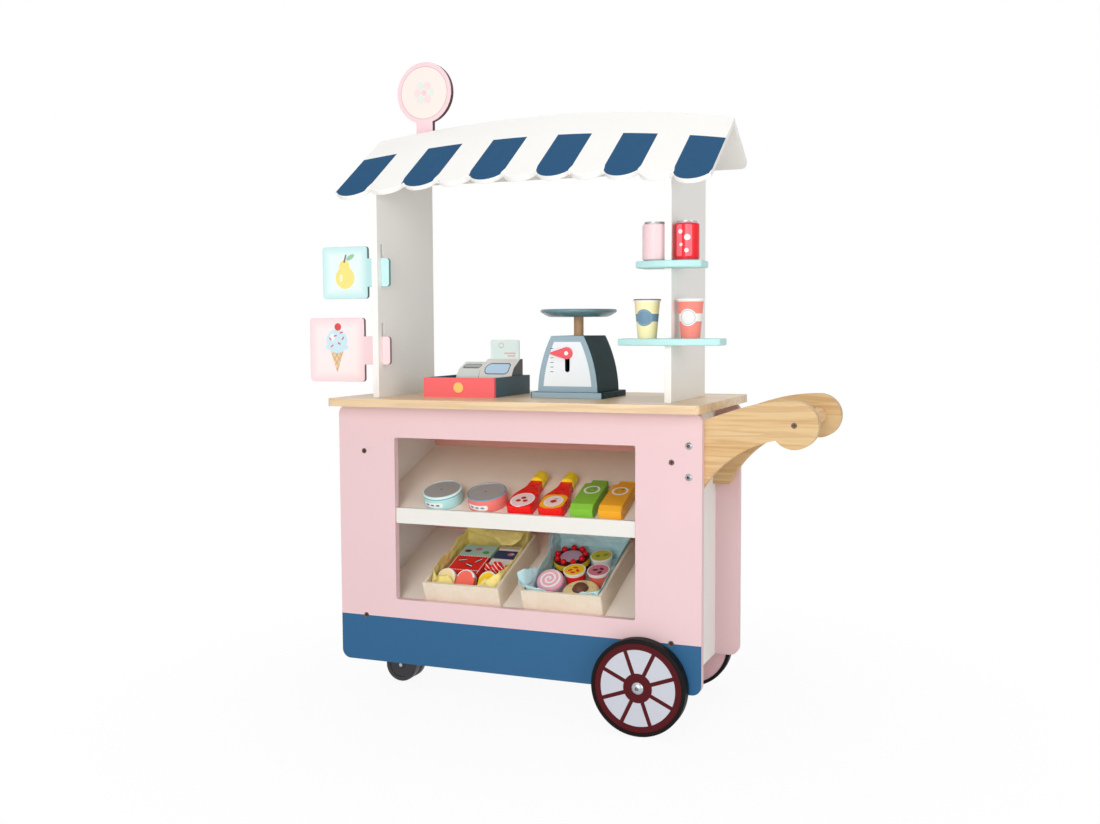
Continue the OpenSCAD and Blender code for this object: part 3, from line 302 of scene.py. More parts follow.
# steel, with painted shade that turns it nearly black in its recesses
def metal(name, tone, roughness):
    material, shader, place = startMaterial(name)
    scuff = grit(mapped(place, (900, 900, 120)), 1.0, 3)
    # an ambient occlusion mask paints shade into the recesses
    recessShade = place.node("ShaderNodeAmbientOcclusion", {"Distance": 0.004}, out=1, samples=8, only_local=True)
    colour = over(tone, (shade(tone, 0.8), scuff * 0.4))
    colour = over(shade(tone, 0.05), (colour, recessShade.clamped(3.5, -2.0)))
    settle(shader, place, colour, roughness + scuff * 0.14, scuff, 0.00002, Metallic=1.0)
    return material


paperFinish = {"warpScale": 40, "warp": 0.012, "creaseScale": 70.0, "depth": 0.0012, "gloss": 0.15}


# crumpled tissue: facets between creases, with painted shade along the creases
def paper(name, tone):
    material, shader, place = startMaterial(name)
    warp = scaled(grit(place, paperFinish["warpScale"], out=1), paperFinish["warp"])
    bent = place.node("ShaderNodeVectorMath", {0: place, 1: warp}, operation="ADD")
    cells = {"Vector": bent, "Scale": paperFinish["creaseScale"]}
    crease = bent.node("ShaderNodeTexVoronoi", cells, feature="DISTANCE_TO_EDGE")
    facet = bent.node("ShaderNodeTexVoronoi", cells, feature="F1")
    pulp = grit(place, 260, 5, 0.65)
    cloud = grit(place, 26, 3)
    # the last layer paints shade along the crease lines
    colour = over(shade(tone, 0.88), (tone, cloud.clamped(1.6, -0.2)),
                  (shade(tone, 0.80), inside(crease * 10 - 0.25) * 0.5))
    settle(shader, place, colour, 0.62 + pulp * 0.15, facet * 1.6 + cloud + pulp * 0.1, paperFinish["depth"],
           Specular_IOR_Level=paperFinish["gloss"])
    return material


print("materials ready")


# meshes
def link(mesh, name):
    piece = bpy.data.objects.new(name, mesh)
    bpy.context.scene.collection.objects.link(piece)
    return piece


def weld(source):
    bm = bmesh.new()
    bm.from_mesh(source)
    bmesh.ops.remove_doubles(bm, verts=bm.verts, dist=0.002 * mm)
    bmesh.ops.dissolve_limit(bm, angle_limit=math.radians(0.4), verts=bm.verts, edges=bm.edges)
    return bm


def smooth(mesh, angle=32):
    mesh.shade_smooth()
    mesh.set_sharp_from_angle(angle=math.radians(angle))
    return mesh


def toPiece(bm, name, smoothAngle=32):
    mesh = bpy.data.meshes.new(name)
    bm.to_mesh(mesh)
    bm.free()
    return link(smooth(mesh, smoothAngle), name)


def roundEdges(piece, width, segments=3, angle=32):
    if width:
        bevel = piece.modifiers.new("edges", "BEVEL")
        bevel.width = width * mm
        bevel.segments = segments
        bevel.limit_method = "ANGLE"
        bevel.angle_limit = math.radians(angle)
        bevel.use_clamp_overlap = True
        bevel.harden_normals = True


# a finished piece that rides on a node's body and stands for the node
def mount(piece, material, node, stands=True):
    if material:
        piece.data.materials.clear()
        piece.data.materials.append(material)
    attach(piece, bodyOf[node])
    if stands:
        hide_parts(node)


# a node's own shape with softened edges and a finish
def dress(node, material, edge=0.8, segments=3):
    piece = toPiece(weld(frame["nodes"][node].data), node + "Finish")
    roundEdges(piece, edge, segments)
    mount(piece, material, node)


# separate solids of a node, each as its own mesh
def solidsOf(node):
    bm = weld(frame["nodes"][node].data)
    bm.verts.index_update()
    taken = set()
    found = []
    for start in bm.verts:
        if start in taken:
            continue
        group, heap = {start}, [start]
        while heap:
            near = {vert for edge in heap.pop().link_edges for vert in edge.verts} - group
            group |= near
            heap += near
        taken |= group
        keep = {vert.index for vert in group}
        part = bm.copy()
        bmesh.ops.delete(part, geom=[v for v in part.verts if v.index not in keep], context="VERTS")
        found.append(part)
    bm.free()
    return found


def boxOf(points):
    return [Vector(pick(point[i] for point in points) for i in range(3)) for pick in (min, max)]


# geometry node trees; the names of the inputs are given by kind
def newPlan(name, **labels):
    tree = bpy.data.node_groups.new(name, "GeometryNodeTree")
    tree.interface.new_socket("Geometry", in_out="OUTPUT", socket_type="NodeSocketGeometry")
    for kind, names in labels.items():
        for label in names.split():
            tree.interface.new_socket(label, in_out="INPUT", socket_type="NodeSocket" + kind)
    start = tree.nodes.new("NodeGroupInput")
    tree.nodes.new("NodeGroupOutput")
    return {socket.name: Signal(tree, socket) for socket in start.outputs if socket.name}


def endPlan(geometry, material):
    real = geometry.node("GeometryNodeRealizeInstances", {0: geometry})
    painted = real.node("GeometryNodeSetMaterial", {"Geometry": real, "Material": material})
    geometry.tree.links.new(painted.socket, geometry.tree.nodes["Group Output"].inputs[0])
    return geometry.tree


# runs a tree once and keeps the result as a plain mesh
def runPlan(tree, name, values, carrier=None):
    holder = link(carrier or bpy.data.meshes.new(name + "Start"), name + "Start")
    modifier = holder.modifiers.new("plan", "NODES")
    modifier.node_group = tree
    for item in tree.interface.items_tree:
        if item.in_out == "INPUT" and item.name in values:
            modifier[item.identifier] = values[item.name]
    bpy.context.view_layer.update()
    graph = bpy.context.evaluated_depsgraph_get()
    mesh = bpy.data.meshes.new_from_object(holder.evaluated_get(graph))
    holder.modifiers.remove(modifier)
    bpy.data.objects.remove(holder)
    mesh.name = name
    return link(smooth(mesh), name)


def xyz(*parts):
    maker = next(part for part in parts if isinstance(part, Signal))
    return maker.node("ShaderNodeCombineXYZ", dict(enumerate(parts)))


def moved(shape, place=(0, 0, 0), turn=(0, 0, 0)):
    return shape.node("GeometryNodeTransform", {"Geometry": shape, "Translation": place, "Rotation": turn})


def carved(shape, *tools):
    for tool in tools:
        trimmed = shape.node("GeometryNodeMeshBoolean", {0: shape}, operation="DIFFERENCE", solver="EXACT")
        shape.tree.links.new(tool.socket, trimmed.socket.node.inputs[1])
        shape = trimmed
    return shape


def onPoints(points, shape, **inputs):
    return shape.node("GeometryNodeInstanceOnPoints", {"Points": points, "Instance": shape, **inputs})


# camera, floor and light
view = {"place": (0.67704, -1.75494, 0.58144), "azimuth": 21.857, "down": 4.046, "roll": 0.273,
        "focalPixels": 1220.68, "imageWidth": 1100, "sensor": 36.0}


def addCamera():
    camera = bpy.data.cameras.new("photoCamera")
    camera.sensor_fit = "HORIZONTAL"
    camera.sensor_width = view["sensor"]
    camera.lens = view["focalPixels"] / view["imageWidth"] * view["sensor"]
    camera.clip_start = 0.05
    holder = link(camera, "photoCamera")
    holder.location = view["place"]
    holder.rotation_euler = [math.radians(a) for a in (90 - view["down"], view["roll"], view["azimuth"])]
    bpy.context.scene.camera = holder


studio = {"ambient": 0.38, "floor": "#F4F4F4", "floorSize": 14.0, "floorDrop": 0.3, "floorGlow": 0.92,
          "fadeStart": 0.30, "fadeWidth": 0.50, "white": (1, 1, 1, 1), "aim": (0.0, 0.0, 0.45),
          "lamps": {"key": {"at": (0.1, -2.6, 1.45), "size": 1.2, "watts": 19},
                    "front": {"at": (0.4, -2.8, 0.65), "size": 1.2, "watts": 20},
                    "fill": {"at": (2.8, -1.4, 1.1), "size": 2.0, "watts": 22},
                    "top": {"at": (0.2, 0.1, 3.0), "size": 2.4, "watts": 21}}}


# 1 for what the camera sees straight on, in a reflection or through glass
def seenBy(tree):
    rays = tree.nodes.new("ShaderNodeLightPath").outputs
    kinds = ("Camera", "Glossy", "Transmission")
    camera, glossy, through = [Signal(tree, rays[f"Is {kind} Ray"]) for kind in kinds]
    return camera.atLeast(glossy).atLeast(through)


def addSky():
    world = bpy.context.scene.world or bpy.data.worlds.new("studio")
    bpy.context.scene.world = world
    world.use_nodes = True
    tree = world.node_tree
    tree.nodes.clear()
    seen = seenBy(tree)
    strength = seen * (1 - studio["ambient"]) + studio["ambient"]
    sky = seen.node("ShaderNodeBackground", {"Color": studio["white"], "Strength": strength})
    tree.links.new(sky.socket, tree.nodes.new("ShaderNodeOutputWorld").inputs["Surface"])


# white paper that keeps a little shadow near the object
def addFloor():
    half, drop = studio["floorSize"] / 2, -studio["floorDrop"] * mm
    mesh = bpy.data.meshes.new("floor")
    spots = [(-half, -half, drop), (half, -half, drop), (half, half, drop), (-half, half, drop)]
    mesh.from_pydata(spots, [], [(0, 1, 2, 3)])
    material, shader, place = startMaterial("floorPaper")
    settle(shader, place, ink(studio["floor"]), 0.9)
    tree = material.node_tree
    seen = seenBy(tree)
    glow = seen.node("ShaderNodeEmission", {"Color": studio["white"], "Strength": 1.0})
    away = place.node("ShaderNodeVectorMath", {0: place}, out=1, operation="LENGTH")
    fade = away.clamped(1 / studio["fadeWidth"], -studio["fadeStart"] / studio["fadeWidth"])
    share = fade * (1 - studio["floorGlow"]) + studio["floorGlow"]
    mixed = seen.node("ShaderNodeMixShader", {0: seen * share, 1: Signal(tree, shader.outputs[0]), 2: glow})
    tree.links.new(mixed.socket, tree.nodes["Material Output"].inputs["Surface"])
    mesh.materials.append(material)
    link(mesh, "floor")


def addLamps():
    for name, lamp in studio["lamps"].items():
        light = bpy.data.lights.new(name, "AREA")
        light.energy = lamp["watts"]
        light.size = lamp["size"]
        holder = link(light, name)
        holder.location = lamp["at"]
        aim = Vector(studio["aim"]) - Vector(lamp["at"])
        holder.rotation_euler = aim.to_track_quat("-Z", "Y").to_euler()


addCamera()
addSky()
addFloor()
addLamps()
bpy.context.scene.view_settings.view_transform = "Standard"
print("camera and studio ready")


# cabinet boards
# inside the stall the display paint is a cream tinted warmer as painted warm light; the rear board's inner
# pink and the lip's white are deeper copies as painted shade
cabinet = {"pink": "#E6C6C9", "blue": "#2C6089", "bandTop": 133.0, "white": "#F7F5F1", "inner": "#FFF4E7",
           "rearInsideShade": "#F2B1A6", "lip": "#E6E4DE", "edge": 1.0, "shelfEdge": 0.5, "counterEdge": 1.6,
           "printDepth": 0.4, "slot": "#57524F", "slotMargin": 0.6,
           "counter": {"pale": "#EBD5B2", "mid": "#DFC096", "dark": "#C2956A", "gloss": 0.5,
                       "roughness": 0.28}}


# a pink board with a blue band on its outer face, and on the rear board a deeper pink on the inner face as
# painted shade; outward is -1 for the front, 1 for the rear
def pinkBoard(node, outward):
    face = corners(node)[outward > 0].y

    def decorate(colour, x, y, z):
        printed = above(y * outward, face * outward - cabinet["printDepth"])
        if outward > 0:
            # the rear board's inner face takes a deeper pink as painted shade
            inner = between(x, corners("left_side_panel")[1].x, corners("right_side_panel")[0].x)
            inner = inner * below(y, corners(node)[0].y + cabinet["printDepth"])
            colour = over(colour, (cabinet["rearInsideShade"], inner))
        return over(colour, (cabinet["blue"], below(z, cabinet["bandTop"]) * printed))
    return decorate


# the walls of the sign slots lie in deep shade
def slotShade(colour, x, y, z):
    low, high = corners("left_post")
    margin = cabinet["slotMargin"]
    within = between(x, low.x + margin, high.x - margin)
    for opening in frame["record"]["physics"]["openings"]:
        if opening["name"].endswith("sign_slot"):
            slotLow, slotHigh = [Vector(corner) / mm for corner in opening["box_m"]]
            across = between(y, slotLow.y - margin, slotHigh.y + margin)
            upper = between(z, slotLow.z, slotHigh.z + margin)
            colour = over(colour, (cabinet["slot"], within * across * upper))
    return colour


def makeCabinet():
    white = lacquer("whitePaint", cabinet["white"])
    # a cream tinted warmer, as painted warm light inside the stall
    inner = lacquer("displayPaintWarmLight", cabinet["inner"], roughness=0.5)
    counter = pine("counterPine", 0, **cabinet["counter"])
    for node, name, outward in (("front_panel", "frontPanelPaint", -1), ("rear_panel", "rearPanelPaint", 1)):
        dress(node, lacquer(name, cabinet["pink"], pinkBoard(node, outward)), cabinet["edge"])
    for node in ("left_side_panel", "right_side_panel", "base_board", "right_post", "awning_rear"):
        dress(node, white, cabinet["edge"])
    dress("left_post", lacquer("slottedPostPaint", cabinet["white"], slotShade), cabinet["edge"])
    for node in ("display_floor", "display_shelf"):
        dress(node, inner, cabinet["shelfEdge"])
    # a darker copy of the white paint, as painted shade on the shelf lip
    dress("shelf_lip", lacquer("shadedLipPaint", cabinet["lip"]), cabinet["edge"])
    dress("countertop", counter, cabinet["counterEdge"])
    dress("axle_beam", counter)


makeCabinet()
print("cabinet boards done")


# side shelves
sideShelf = {"mint": "#BCE6E4", "edge": 2.2, "segments": 4}
shelfPaint = lacquer("shelfPaint", sideShelf["mint"])
for node in ("upper_side_shelf", "lower_side_shelf"):
    dress(node, shelfPaint, sideShelf["edge"], sideShelf["segments"])


# awning: one tilted board with an arched top edge, a curved hem and scallops
awning = {"blue": "#174E75", "white": "#FAF9F6", "scallops": 11, "columns": 24, "rows": 10, "drop": 19.0,
          "crownRise": 55.0, "hemRise": 38.0, "eaveLength": 171.5, "stripeTop": 66.0, "stripeRise": 47.0,
          "stripeWidth": 56.5, "stripeShift": -1.2, "narrowRun": 12.0, "narrowBy": 2.2, "thickness": 8.0,
          "slope": 34.4, "edge": 0.9, "printDepth": 0.6, "gloss": 0.08}


def awningPlan(paint):
    size = newPlan("awningBoard", Float="width drop crownRise hemRise eaveLength thickness slope",
                   Int="scallops columns rows", Vector="ridge")
    width, count, drop = size["width"], size["scallops"], size["drop"]
    grid = width.node("GeometryNodeMeshGrid", {"Size X": 1.0, "Size Y": 1.0,
                                               "Vertices X": count * size["columns"] + 1,
                                               "Vertices Y": size["rows"] + 1})
    u, v = [part + 0.5 for part in split(width.node("GeometryNodeInputPosition"))[:2]]
    x = (u - 0.5) * width
    half = width / 2

    def arch(at, rise):
        radius = (half * half + rise * rise) / (rise * 2)
        return (radius * radius - at * at).root() - radius + rise

    def hem(at):
        return arch(at, size["hemRise"]) - size["eaveLength"]

    cellWidth = width / count
    scallopRadius = (cellWidth * cellWidth / 4 + drop * drop) / (drop * 2)

    def scallop(cell):
        start = (cell / count - 0.5) * width
        chord = (hem(start) + hem(start + cellWidth)) / 2
        reach = x - start - cellWidth / 2
        depth = (scallopRadius * scallopRadius - reach * reach).atLeast(0).root()
        away = abs(reach) > scallopRadius
        return chord + scallopRadius - drop - depth + away

    cell = (u * count + 0.0001).floor()
    bottom = hem(x).atMost(scallop(cell.atMost(count - 1))).atMost(scallop((cell - 1).atLeast(0)))
    y = bottom + (arch(x, size["crownRise"]) - bottom) * v
    spot = xyz(x, y, size["thickness"] * -1)
    placed = grid.node("GeometryNodeSetPosition", {"Geometry": grid, "Position": spot})
    raised = placed.node("GeometryNodeExtrudeMesh", {"Mesh": placed, "Offset Scale": size["thickness"],
                                                     "Individual": False}, mode="FACES")
    joined = raised.node("GeometryNodeJoinGeometry")
    for shell in (raised, placed.node("GeometryNodeFlipFaces", {"Mesh": placed})):
        joined.tree.links.new(shell.socket, joined.socket.node.inputs[0])
    closed = joined.node("GeometryNodeMergeByDistance", {"Geometry": joined, "Distance": 0.002 * mm})
    return endPlan(moved(closed, size["ridge"], xyz(size["slope"], 0.0, 0.0)), paint)


# stripes on the upper face: every second scallop, with their upper ends on a shallow curve
def awningPrint(ridge, half):
    def decorate(colour, x, y, z):
        along, height = turned(y - ridge.y, z - ridge.z, awning["slope"])
        u = x - ridge.x - awning["stripeShift"]
        period = 4 * half / awning["scallops"]
        bow = (half * half + awning["hemRise"] ** 2) / (2 * awning["hemRise"])
        hem = (bow * bow - u * u).root() - bow + awning["hemRise"] - awning["eaveLength"]
        narrow = 1 - (along - hem).clamped(1 / awning["narrowRun"])
        off = abs(u.wrap(period) - period / 2)
        stripe = inside(off - awning["stripeWidth"] / 2 + narrow * awning["narrowBy"])
        share = u / half
        top = below(along, (1 - share * share) * awning["stripeRise"] - awning["stripeTop"])
        return over(colour, (awning["blue"], stripe * top * above(height, -awning["printDepth"])))
    return decorate


def makeAwning():
    low, high = corners("awning_front")
    slope = math.radians(awning["slope"])
    ridge = Vector(((low.x + high.x) / 2,
                    high.y - awning["crownRise"] * math.cos(slope) - awning["thickness"] * math.sin(slope),
                    high.z - awning["crownRise"] * math.sin(slope)))
    printed = awningPrint(ridge, (high.x - low.x) / 2)
    paint = lacquer("awningPaint", awning["white"], printed, 0.55, gloss=awning["gloss"])
    values = lengths(awning, "drop", "crownRise", "hemRise", "eaveLength", "thickness")
    values.update({name: awning[name] for name in ("scallops", "columns", "rows")})
    values.update(width=(high.x - low.x) * mm, slope=slope, ridge=ridge * mm)
    piece = runPlan(awningPlan(paint), "awningBoard", values)
    roundEdges(piece, awning["edge"], 2, 50)
    mount(piece, None, "awning_front")


makeAwning()
print("awning done")


# round sign: a cream field with a plain petal rosette inside a pink rim
roundel = {"rim": "#F9D8DD", "field": "#FBEBE4", "line": "#D3B4B5", "petal": "#F8DADB", "leaf": "#DCEBE1",
           "heart": "#F3C6CC", "side": "#4A2629", "rimWidth": 7.2, "lineWidth": 1.0, "petals": 6,
           "petalReach": 12.5, "petalSize": 6.6, "heartShare": 0.7, "faint": 0.75, "printDepth": 0.5}


def roundelPrint(colour, x, y, z):
    low, high = corners("roundel_sign")
    radius = (high.x - low.x) / 2
    field = radius - roundel["rimWidth"]
    u, v = x - (low.x + high.x) / 2, z - (high.z - radius)
    colour = over(colour, (roundel["field"], disc(u, v, field)),
                  (roundel["line"], band(u, v, field, roundel["lineWidth"])))
    for i in range(roundel["petals"]):
        reach = heading(360 * i / roundel["petals"]) * roundel["petalReach"]
        petal = disc(u - reach.x, v - reach.y, roundel["petalSize"])
        colour = over(colour, (roundel["petal" if i % 2 else "leaf"], petal * roundel["faint"]))
    heart = disc(u, v, roundel["petalSize"] * roundel["heartShare"])
    colour = over(colour, (roundel["heart"], heart * roundel["faint"]))
    return over(roundel["side"], (colour, facesOf(y, low, high, roundel["printDepth"])))


dress("roundel_sign", lacquer("roundelPaint", roundel["rim"], roundelPrint))


# handle
handle = {"tilt": (0, 5, 0), "edge": 3.0, "segments": 4,
          "pine": {"pale": "#DDC194", "mid": "#D0A976", "dark": "#AF7D49", "gloss": 0.15}}
armPine = pine("armPine", 0, handle["tilt"], **handle["pine"])
for node in ("handle_arm_front", "handle_arm_rear"):
    dress(node, armPine, handle["edge"], handle["segments"])
dress("grip_bar", pine("gripPine", 1))
print("handle done")


# screw and bolt heads
fasteners = {"screw": {"radius": 4.0, "height": 1.6, "crossWidth": 1.1, "crossLength": 4.8,
                       "crossDepth": 1.0},
             "bolt": {"radius": 5.2, "height": 3.0, "socketRadius": 2.5, "socketDepth": 2.2},
             "black": "#6A5A4E", "zinc": "#B4B8BE", "edge": 0.3, "segments": 2}


# where the heads of a fastener node sit and which way they face, as points
def headPoints(node, sink):
    places = []
    for bm in solidsOf(node):
        low, high = boxOf([vert.co / mm for vert in bm.verts])
        bm.free()
        centre = (low + high) / 2
        length = high - low
        if length.z > max(length.x, length.y):
            places.append((Vector((centre.x, centre.y, low.z + sink)), Vector((0, 0, -1))))
        else:
            side = 1 if centre.y > 0 else -1
            tip = high.y if side > 0 else low.y
            places.append((Vector((centre.x, tip - side * sink, centre.z)), Vector((0, side, 0))))
    mesh = bpy.data.meshes.new(node + "Places")
    mesh.from_pydata([place * mm for place, out in places], [], [])
    facing = mesh.attributes.new("out", "FLOAT_VECTOR", "POINT")
    for i, (place, out) in enumerate(places):
        facing.data[i].vector = out
    return mesh


def standOnPoints(points, shape):
    out = shape.node("GeometryNodeInputNamedAttribute", {"Name": "out"}, data_type="FLOAT_VECTOR")
    turn = out.node("FunctionNodeAlignRotationToVector", {"Vector": out}, axis="Z")
    return onPoints(points, shape, Rotation=turn)


def crossHeadPlan(material):
    size = newPlan("crossHead", Geometry="points", Float="radius height crossWidth crossLength crossDepth")
    radius, lift = size["radius"], size["height"] / 2
    head = radius.node("GeometryNodeMeshCylinder",
                       {"Vertices": 32, "Radius": radius, "Depth": size["height"]})
    cuts = []
    for long, short in (("crossLength", "crossWidth"), ("crossWidth", "crossLength")):
        bar = xyz(size[long], size[short], size["crossDepth"] * 2)
        cuts.append(moved(radius.node("GeometryNodeMeshCube", {"Size": bar}), xyz(0.0, 0.0, lift)))
    sunk = moved(carved(head, *cuts), xyz(0.0, 0.0, lift * -1))
    return endPlan(standOnPoints(size["points"], sunk), material)


def socketHeadPlan(material):
    size = newPlan("socketHead", Geometry="points", Float="radius height socketRadius socketDepth")
    radius, height = size["radius"], size["height"]
    ball = (radius * radius + height * height) / (height * 2)
    dome = radius.node("GeometryNodeMeshUVSphere", {"Segments": 32, "Rings": 40, "Radius": ball})
    block = radius.node("GeometryNodeMeshCube", {"Size": xyz(ball * 4, ball * 4, ball * 4)})
    well = radius.node("GeometryNodeMeshCylinder",
                       {"Vertices": 6, "Radius": size["socketRadius"], "Depth": size["socketDepth"] * 2})
    head = carved(moved(dome, xyz(0.0, 0.0, height - ball)), moved(block, xyz(0.0, 0.0, ball * -2)),
                  moved(well, xyz(0.0, 0.0, height)))
    return endPlan(standOnPoints(size["points"], head), material)


def makeFasteners():
    zinc = metal("zinc", fasteners["zinc"], 0.22)
    screws = crossHeadPlan(metal("blackSteel", fasteners["black"], 0.38))
    bolts = socketHeadPlan(zinc)
    for node, kind, plan, sink in (("wood_screws", "screw", screws, 0.0),
                                   ("cabinet_bolts", "bolt", bolts, fasteners["bolt"]["height"])):
        heads = runPlan(plan, kind + "Heads", lengths(fasteners[kind]), headPoints(node, sink))
        mount(heads, None, node)
    for node in ("axle_bolts", "axle_washers", "caster_axle"):
        dress(node, zinc, fasteners["edge"], fasteners["segments"])
    spring = frame["nodes"]["scale_spring"].data.materials
    spring.clear()
    spring.append(zinc)


makeFasteners()
print("fasteners done")


# wheels
wheel = {"face": "#C6C9D2", "brown": "#52151A", "back": "#EFC6CC", "tyre": "#0E0D0D", "dust": "#3A3836",
         "rimInner": 55.0, "hub": 21.3, "spokes": 8, "firstSpoke": 19.6, "spokeWidth": 5.8, "edge": 0.4}
caster = {"hood": "#17171A", "wheel": "#232226", "hoodEdge": 0.6, "wheelEdge": 0.5}


def wheelPrint(node, side):
    centre = middle(node)

    def decorate(colour, x, y, z):
        u, v = x - centre.x, z - centre.z
        away = span(u, v)
        mask = above(away, wheel["rimInner"]).atLeast(below(away, wheel["hub"]))
        for i in range(wheel["spokes"] // 2):
            spoke = heading(wheel["firstSpoke"] + i * 360 / wheel["spokes"])
            mask = mask.atLeast(below(abs(u * spoke.y - v * spoke.x), wheel["spokeWidth"] / 2))
        return over(colour, (wheel["brown"], mask), (wheel["back"], below(y * side, centre.y * side)))
    return decorate


tyreRubber = rubber("tyreRubber", wheel["tyre"], wheel["dust"])
for side, node in ((-1, "front_wheel"), (1, "rear_wheel")):
    dress(node, lacquer(node + "Paint", wheel["face"], wheelPrint(node, side), gloss=0.1), wheel["edge"])
    dress(node.replace("wheel", "tyre"), tyreRubber, 0)
casterPlastic = plastic("casterPlastic", caster["hood"])
for node in ("caster_plate", "caster_hood"):
    dress(node, casterPlastic, caster["hoodEdge"])
for node in ("caster_wheel_left", "caster_wheel_right"):
    dress(node, plastic(node + "Plastic", caster["wheel"]), caster["wheelEdge"])
print("wheels done")


# menu signs: plain plates with a pear and an ice-cream cone
signs = {"upper": {"plate": "#C6ECEC", "field": "#E8F8F6", "side": "#5F8C8B", "size": (81.0, 81.0)},
         "lower": {"plate": "#F9DADE", "field": "#FBEBEA", "side": "#8F6A72", "size": (99.0, 100.0)},
         "pear": "#F3E487", "pearGlint": "#FFF6C9", "pearLine": "#8A6A66", "leaf": "#9CCBA6",
         "scoop": "#CBE6F0", "scoopGlint": "#EAF6FB", "sprinkle": "#DB5450", "cone": "#E6CBA4",
         "waffle": "#CDA26E", "fade": 16.0, "printDepth": 0.3, "edge": 0.6}


def pear(u, v):
    body = disc(u, v + 8, 17).atLeast(disc(u + 1, v - 10, 9.5)).atLeast(plate(u + 0.5, v - 1, 22, 18, 6))
    return ((signs["pear"], body), (signs["pearGlint"], oval(u + 7, v + 8, 2.6, 6)),
            (signs["pearLine"], stroke(u, v, (-1, 17), (2, 27), 3)),
            (signs["leaf"], oval(*turned(u - 10, v - 24, 28), 8, 3.6)))


def cone(u, v):
    sides = below(abs(u) - (v + 36) * 0.34, 0.0) * between(v, -36, 6)
    layers = [(signs["cone"], sides)]
    for shift in (-22, -8, 6, 20):
        for lean in (-16, 16):
            line = stroke(u, v, (shift * 0.6 - lean, -36), (shift * 0.6 + lean, 8), 1.2)
            layers.append((signs["waffle"], line * sides))
    layers.append((signs["scoop"], disc(u, v - 14, 19).atLeast(oval(u, v - 4, 21, 6))))
    layers.append((signs["scoopGlint"], oval(u + 8, v - 20, 4, 6)))
    for su, sv, lean in ((-9, 6, 40), (4, 10, -30), (11, 18, 60), (-3, 22, 10), (-12, 17, -50), (8, 27, 20)):
        layers.append((signs["sprinkle"], plate(*turned(u - su, v - sv, lean), 6, 2.2, 1.1)))
    return layers + [(signs["sprinkle"], disc(u - 2, v - 36, 6))]


# a plate that is paler towards its middle, with a picture and darker sides
def signPrint(node, looks, picture):
    low, high = corners(node)
    halfW, halfH = [side / 2 for side in looks["size"]]

    def decorate(colour, x, y, z):
        u, v = x - low.x - halfW, z - low.z - halfH
        away = (halfW - abs(u)).atMost(halfH - abs(v))
        colour = over(colour, (looks["field"], away.clamped(1 / signs["fade"])), *picture(u, v))
        return over(looks["side"], (colour, facesOf(y, low, high, signs["printDepth"])))
    return decorate


for name, picture in (("upper", pear), ("lower", cone)):
    node = "menu_sign_" + name
    printed = signPrint(node, signs[name], picture)
    dress(node, lacquer(name + "SignPaint", signs[name]["plate"], printed), signs["edge"])
print("menu signs done")


# scale
scale = {"slate": "#1F3C42", "front": "#9CB4C1", "dial": "#EEF5FA", "pan": "#6A8F99", "pointer": "#F0616B",
         "pin": "#F6F3F0", "pinRadius": 3.2, "tick": "#2C3338", "dialInset": 9.0, "printDepth": 0.5,
         "gloss": 0.03, "ticks": {"step": -7.0, "length": 5.0, "width": 0.9, "height": 0.16},
         "tickCount": 6, "tickShift": 2.4, "tickStand": 0.04, "housingBase": 96.0, "housingTop": 52.0,
         "bulge": 5.0, "stemEdge": 0.3, "pointerEdge": 0.5, "steps": 96,
         "stem": {"pale": "#D9B48C", "mid": "#C49A72", "dark": "#9A6E48"},
         "panProfile": ((42, 0), (46, 0.6), (51, 2.8), (55, 5.4), (57.6, 6.8), (58.8, 8.3), (59, 9.4),
                        (58.4, 10.8), (57, 11.8), (55.4, 12), (53.8, 11.3), (52, 9.6), (47, 6.6), (40, 4.6),
                        (30, 4.0))}


# turned piece: radius and height pairs from the underside round to the top
def lathe(name, profile, steps, place, smoothAngle=40):
    bm = bmesh.new()
    turns = [2 * math.pi * k / steps for k in range(steps)]
    rings = [[bm.verts.new(place(r * math.cos(t), r * math.sin(t), h) * mm) for t in turns]
             for r, h in profile]
    for lower, upper in zip(rings, rings[1:]):
        for i in range(steps):
            j = (i + 1) % steps
            bm.faces.new((lower[i], lower[j], upper[j], upper[i]))
    bm.faces.new(rings[0][::-1])
    bm.faces.new(rings[-1])
    return toPiece(bm, name, smoothAngle)


def housingPrint(colour, x, y, z):
    low, high = corners("scale_housing")
    inset = scale["dialInset"]
    u = x - (low.x + high.x) / 2
    rise = (z - low.z) / (high.z - low.z)
    half = scale["housingBase"] / 2 + rise * ((scale["housingTop"] - scale["housingBase"]) / 2)
    half = half + rise * (1 - rise) * 4 * scale["bulge"]
    face = below(y, low.y + scale["printDepth"])
    dial = inside(abs(u) - half + inset) * between(z, low.z + inset, high.z - inset)
    return over(colour, (scale["front"], face), (scale["dial"], dial * face))


def footPrint(colour, x, y, z):
    return over(colour, (scale["front"], below(y, corners("scale_base")[0].y + scale["printDepth"])))


def pointerPrint(colour, x, y, z):
    low, high = corners("scale_pointer")
    radius = (high.z - low.z) / 2
    return over(colour, (scale["pin"], disc(x - high.x + radius, z - low.z - radius, scale["pinRadius"])))


def tickPlan(material):
    size = newPlan("dialTicks", Float="step length width height", Int="count", Vector="first")
    step = size["step"]
    line = step.node("GeometryNodeMeshLine", {"Count": size["count"], "Start Location": size["first"],
                                              "Offset": xyz(0.0, 0.0, step)}, mode="OFFSET")
    bar = step.node("GeometryNodeMeshCube", {"Size": xyz(size["length"], size["height"], size["width"])})
    return endPlan(onPoints(line, bar), material)


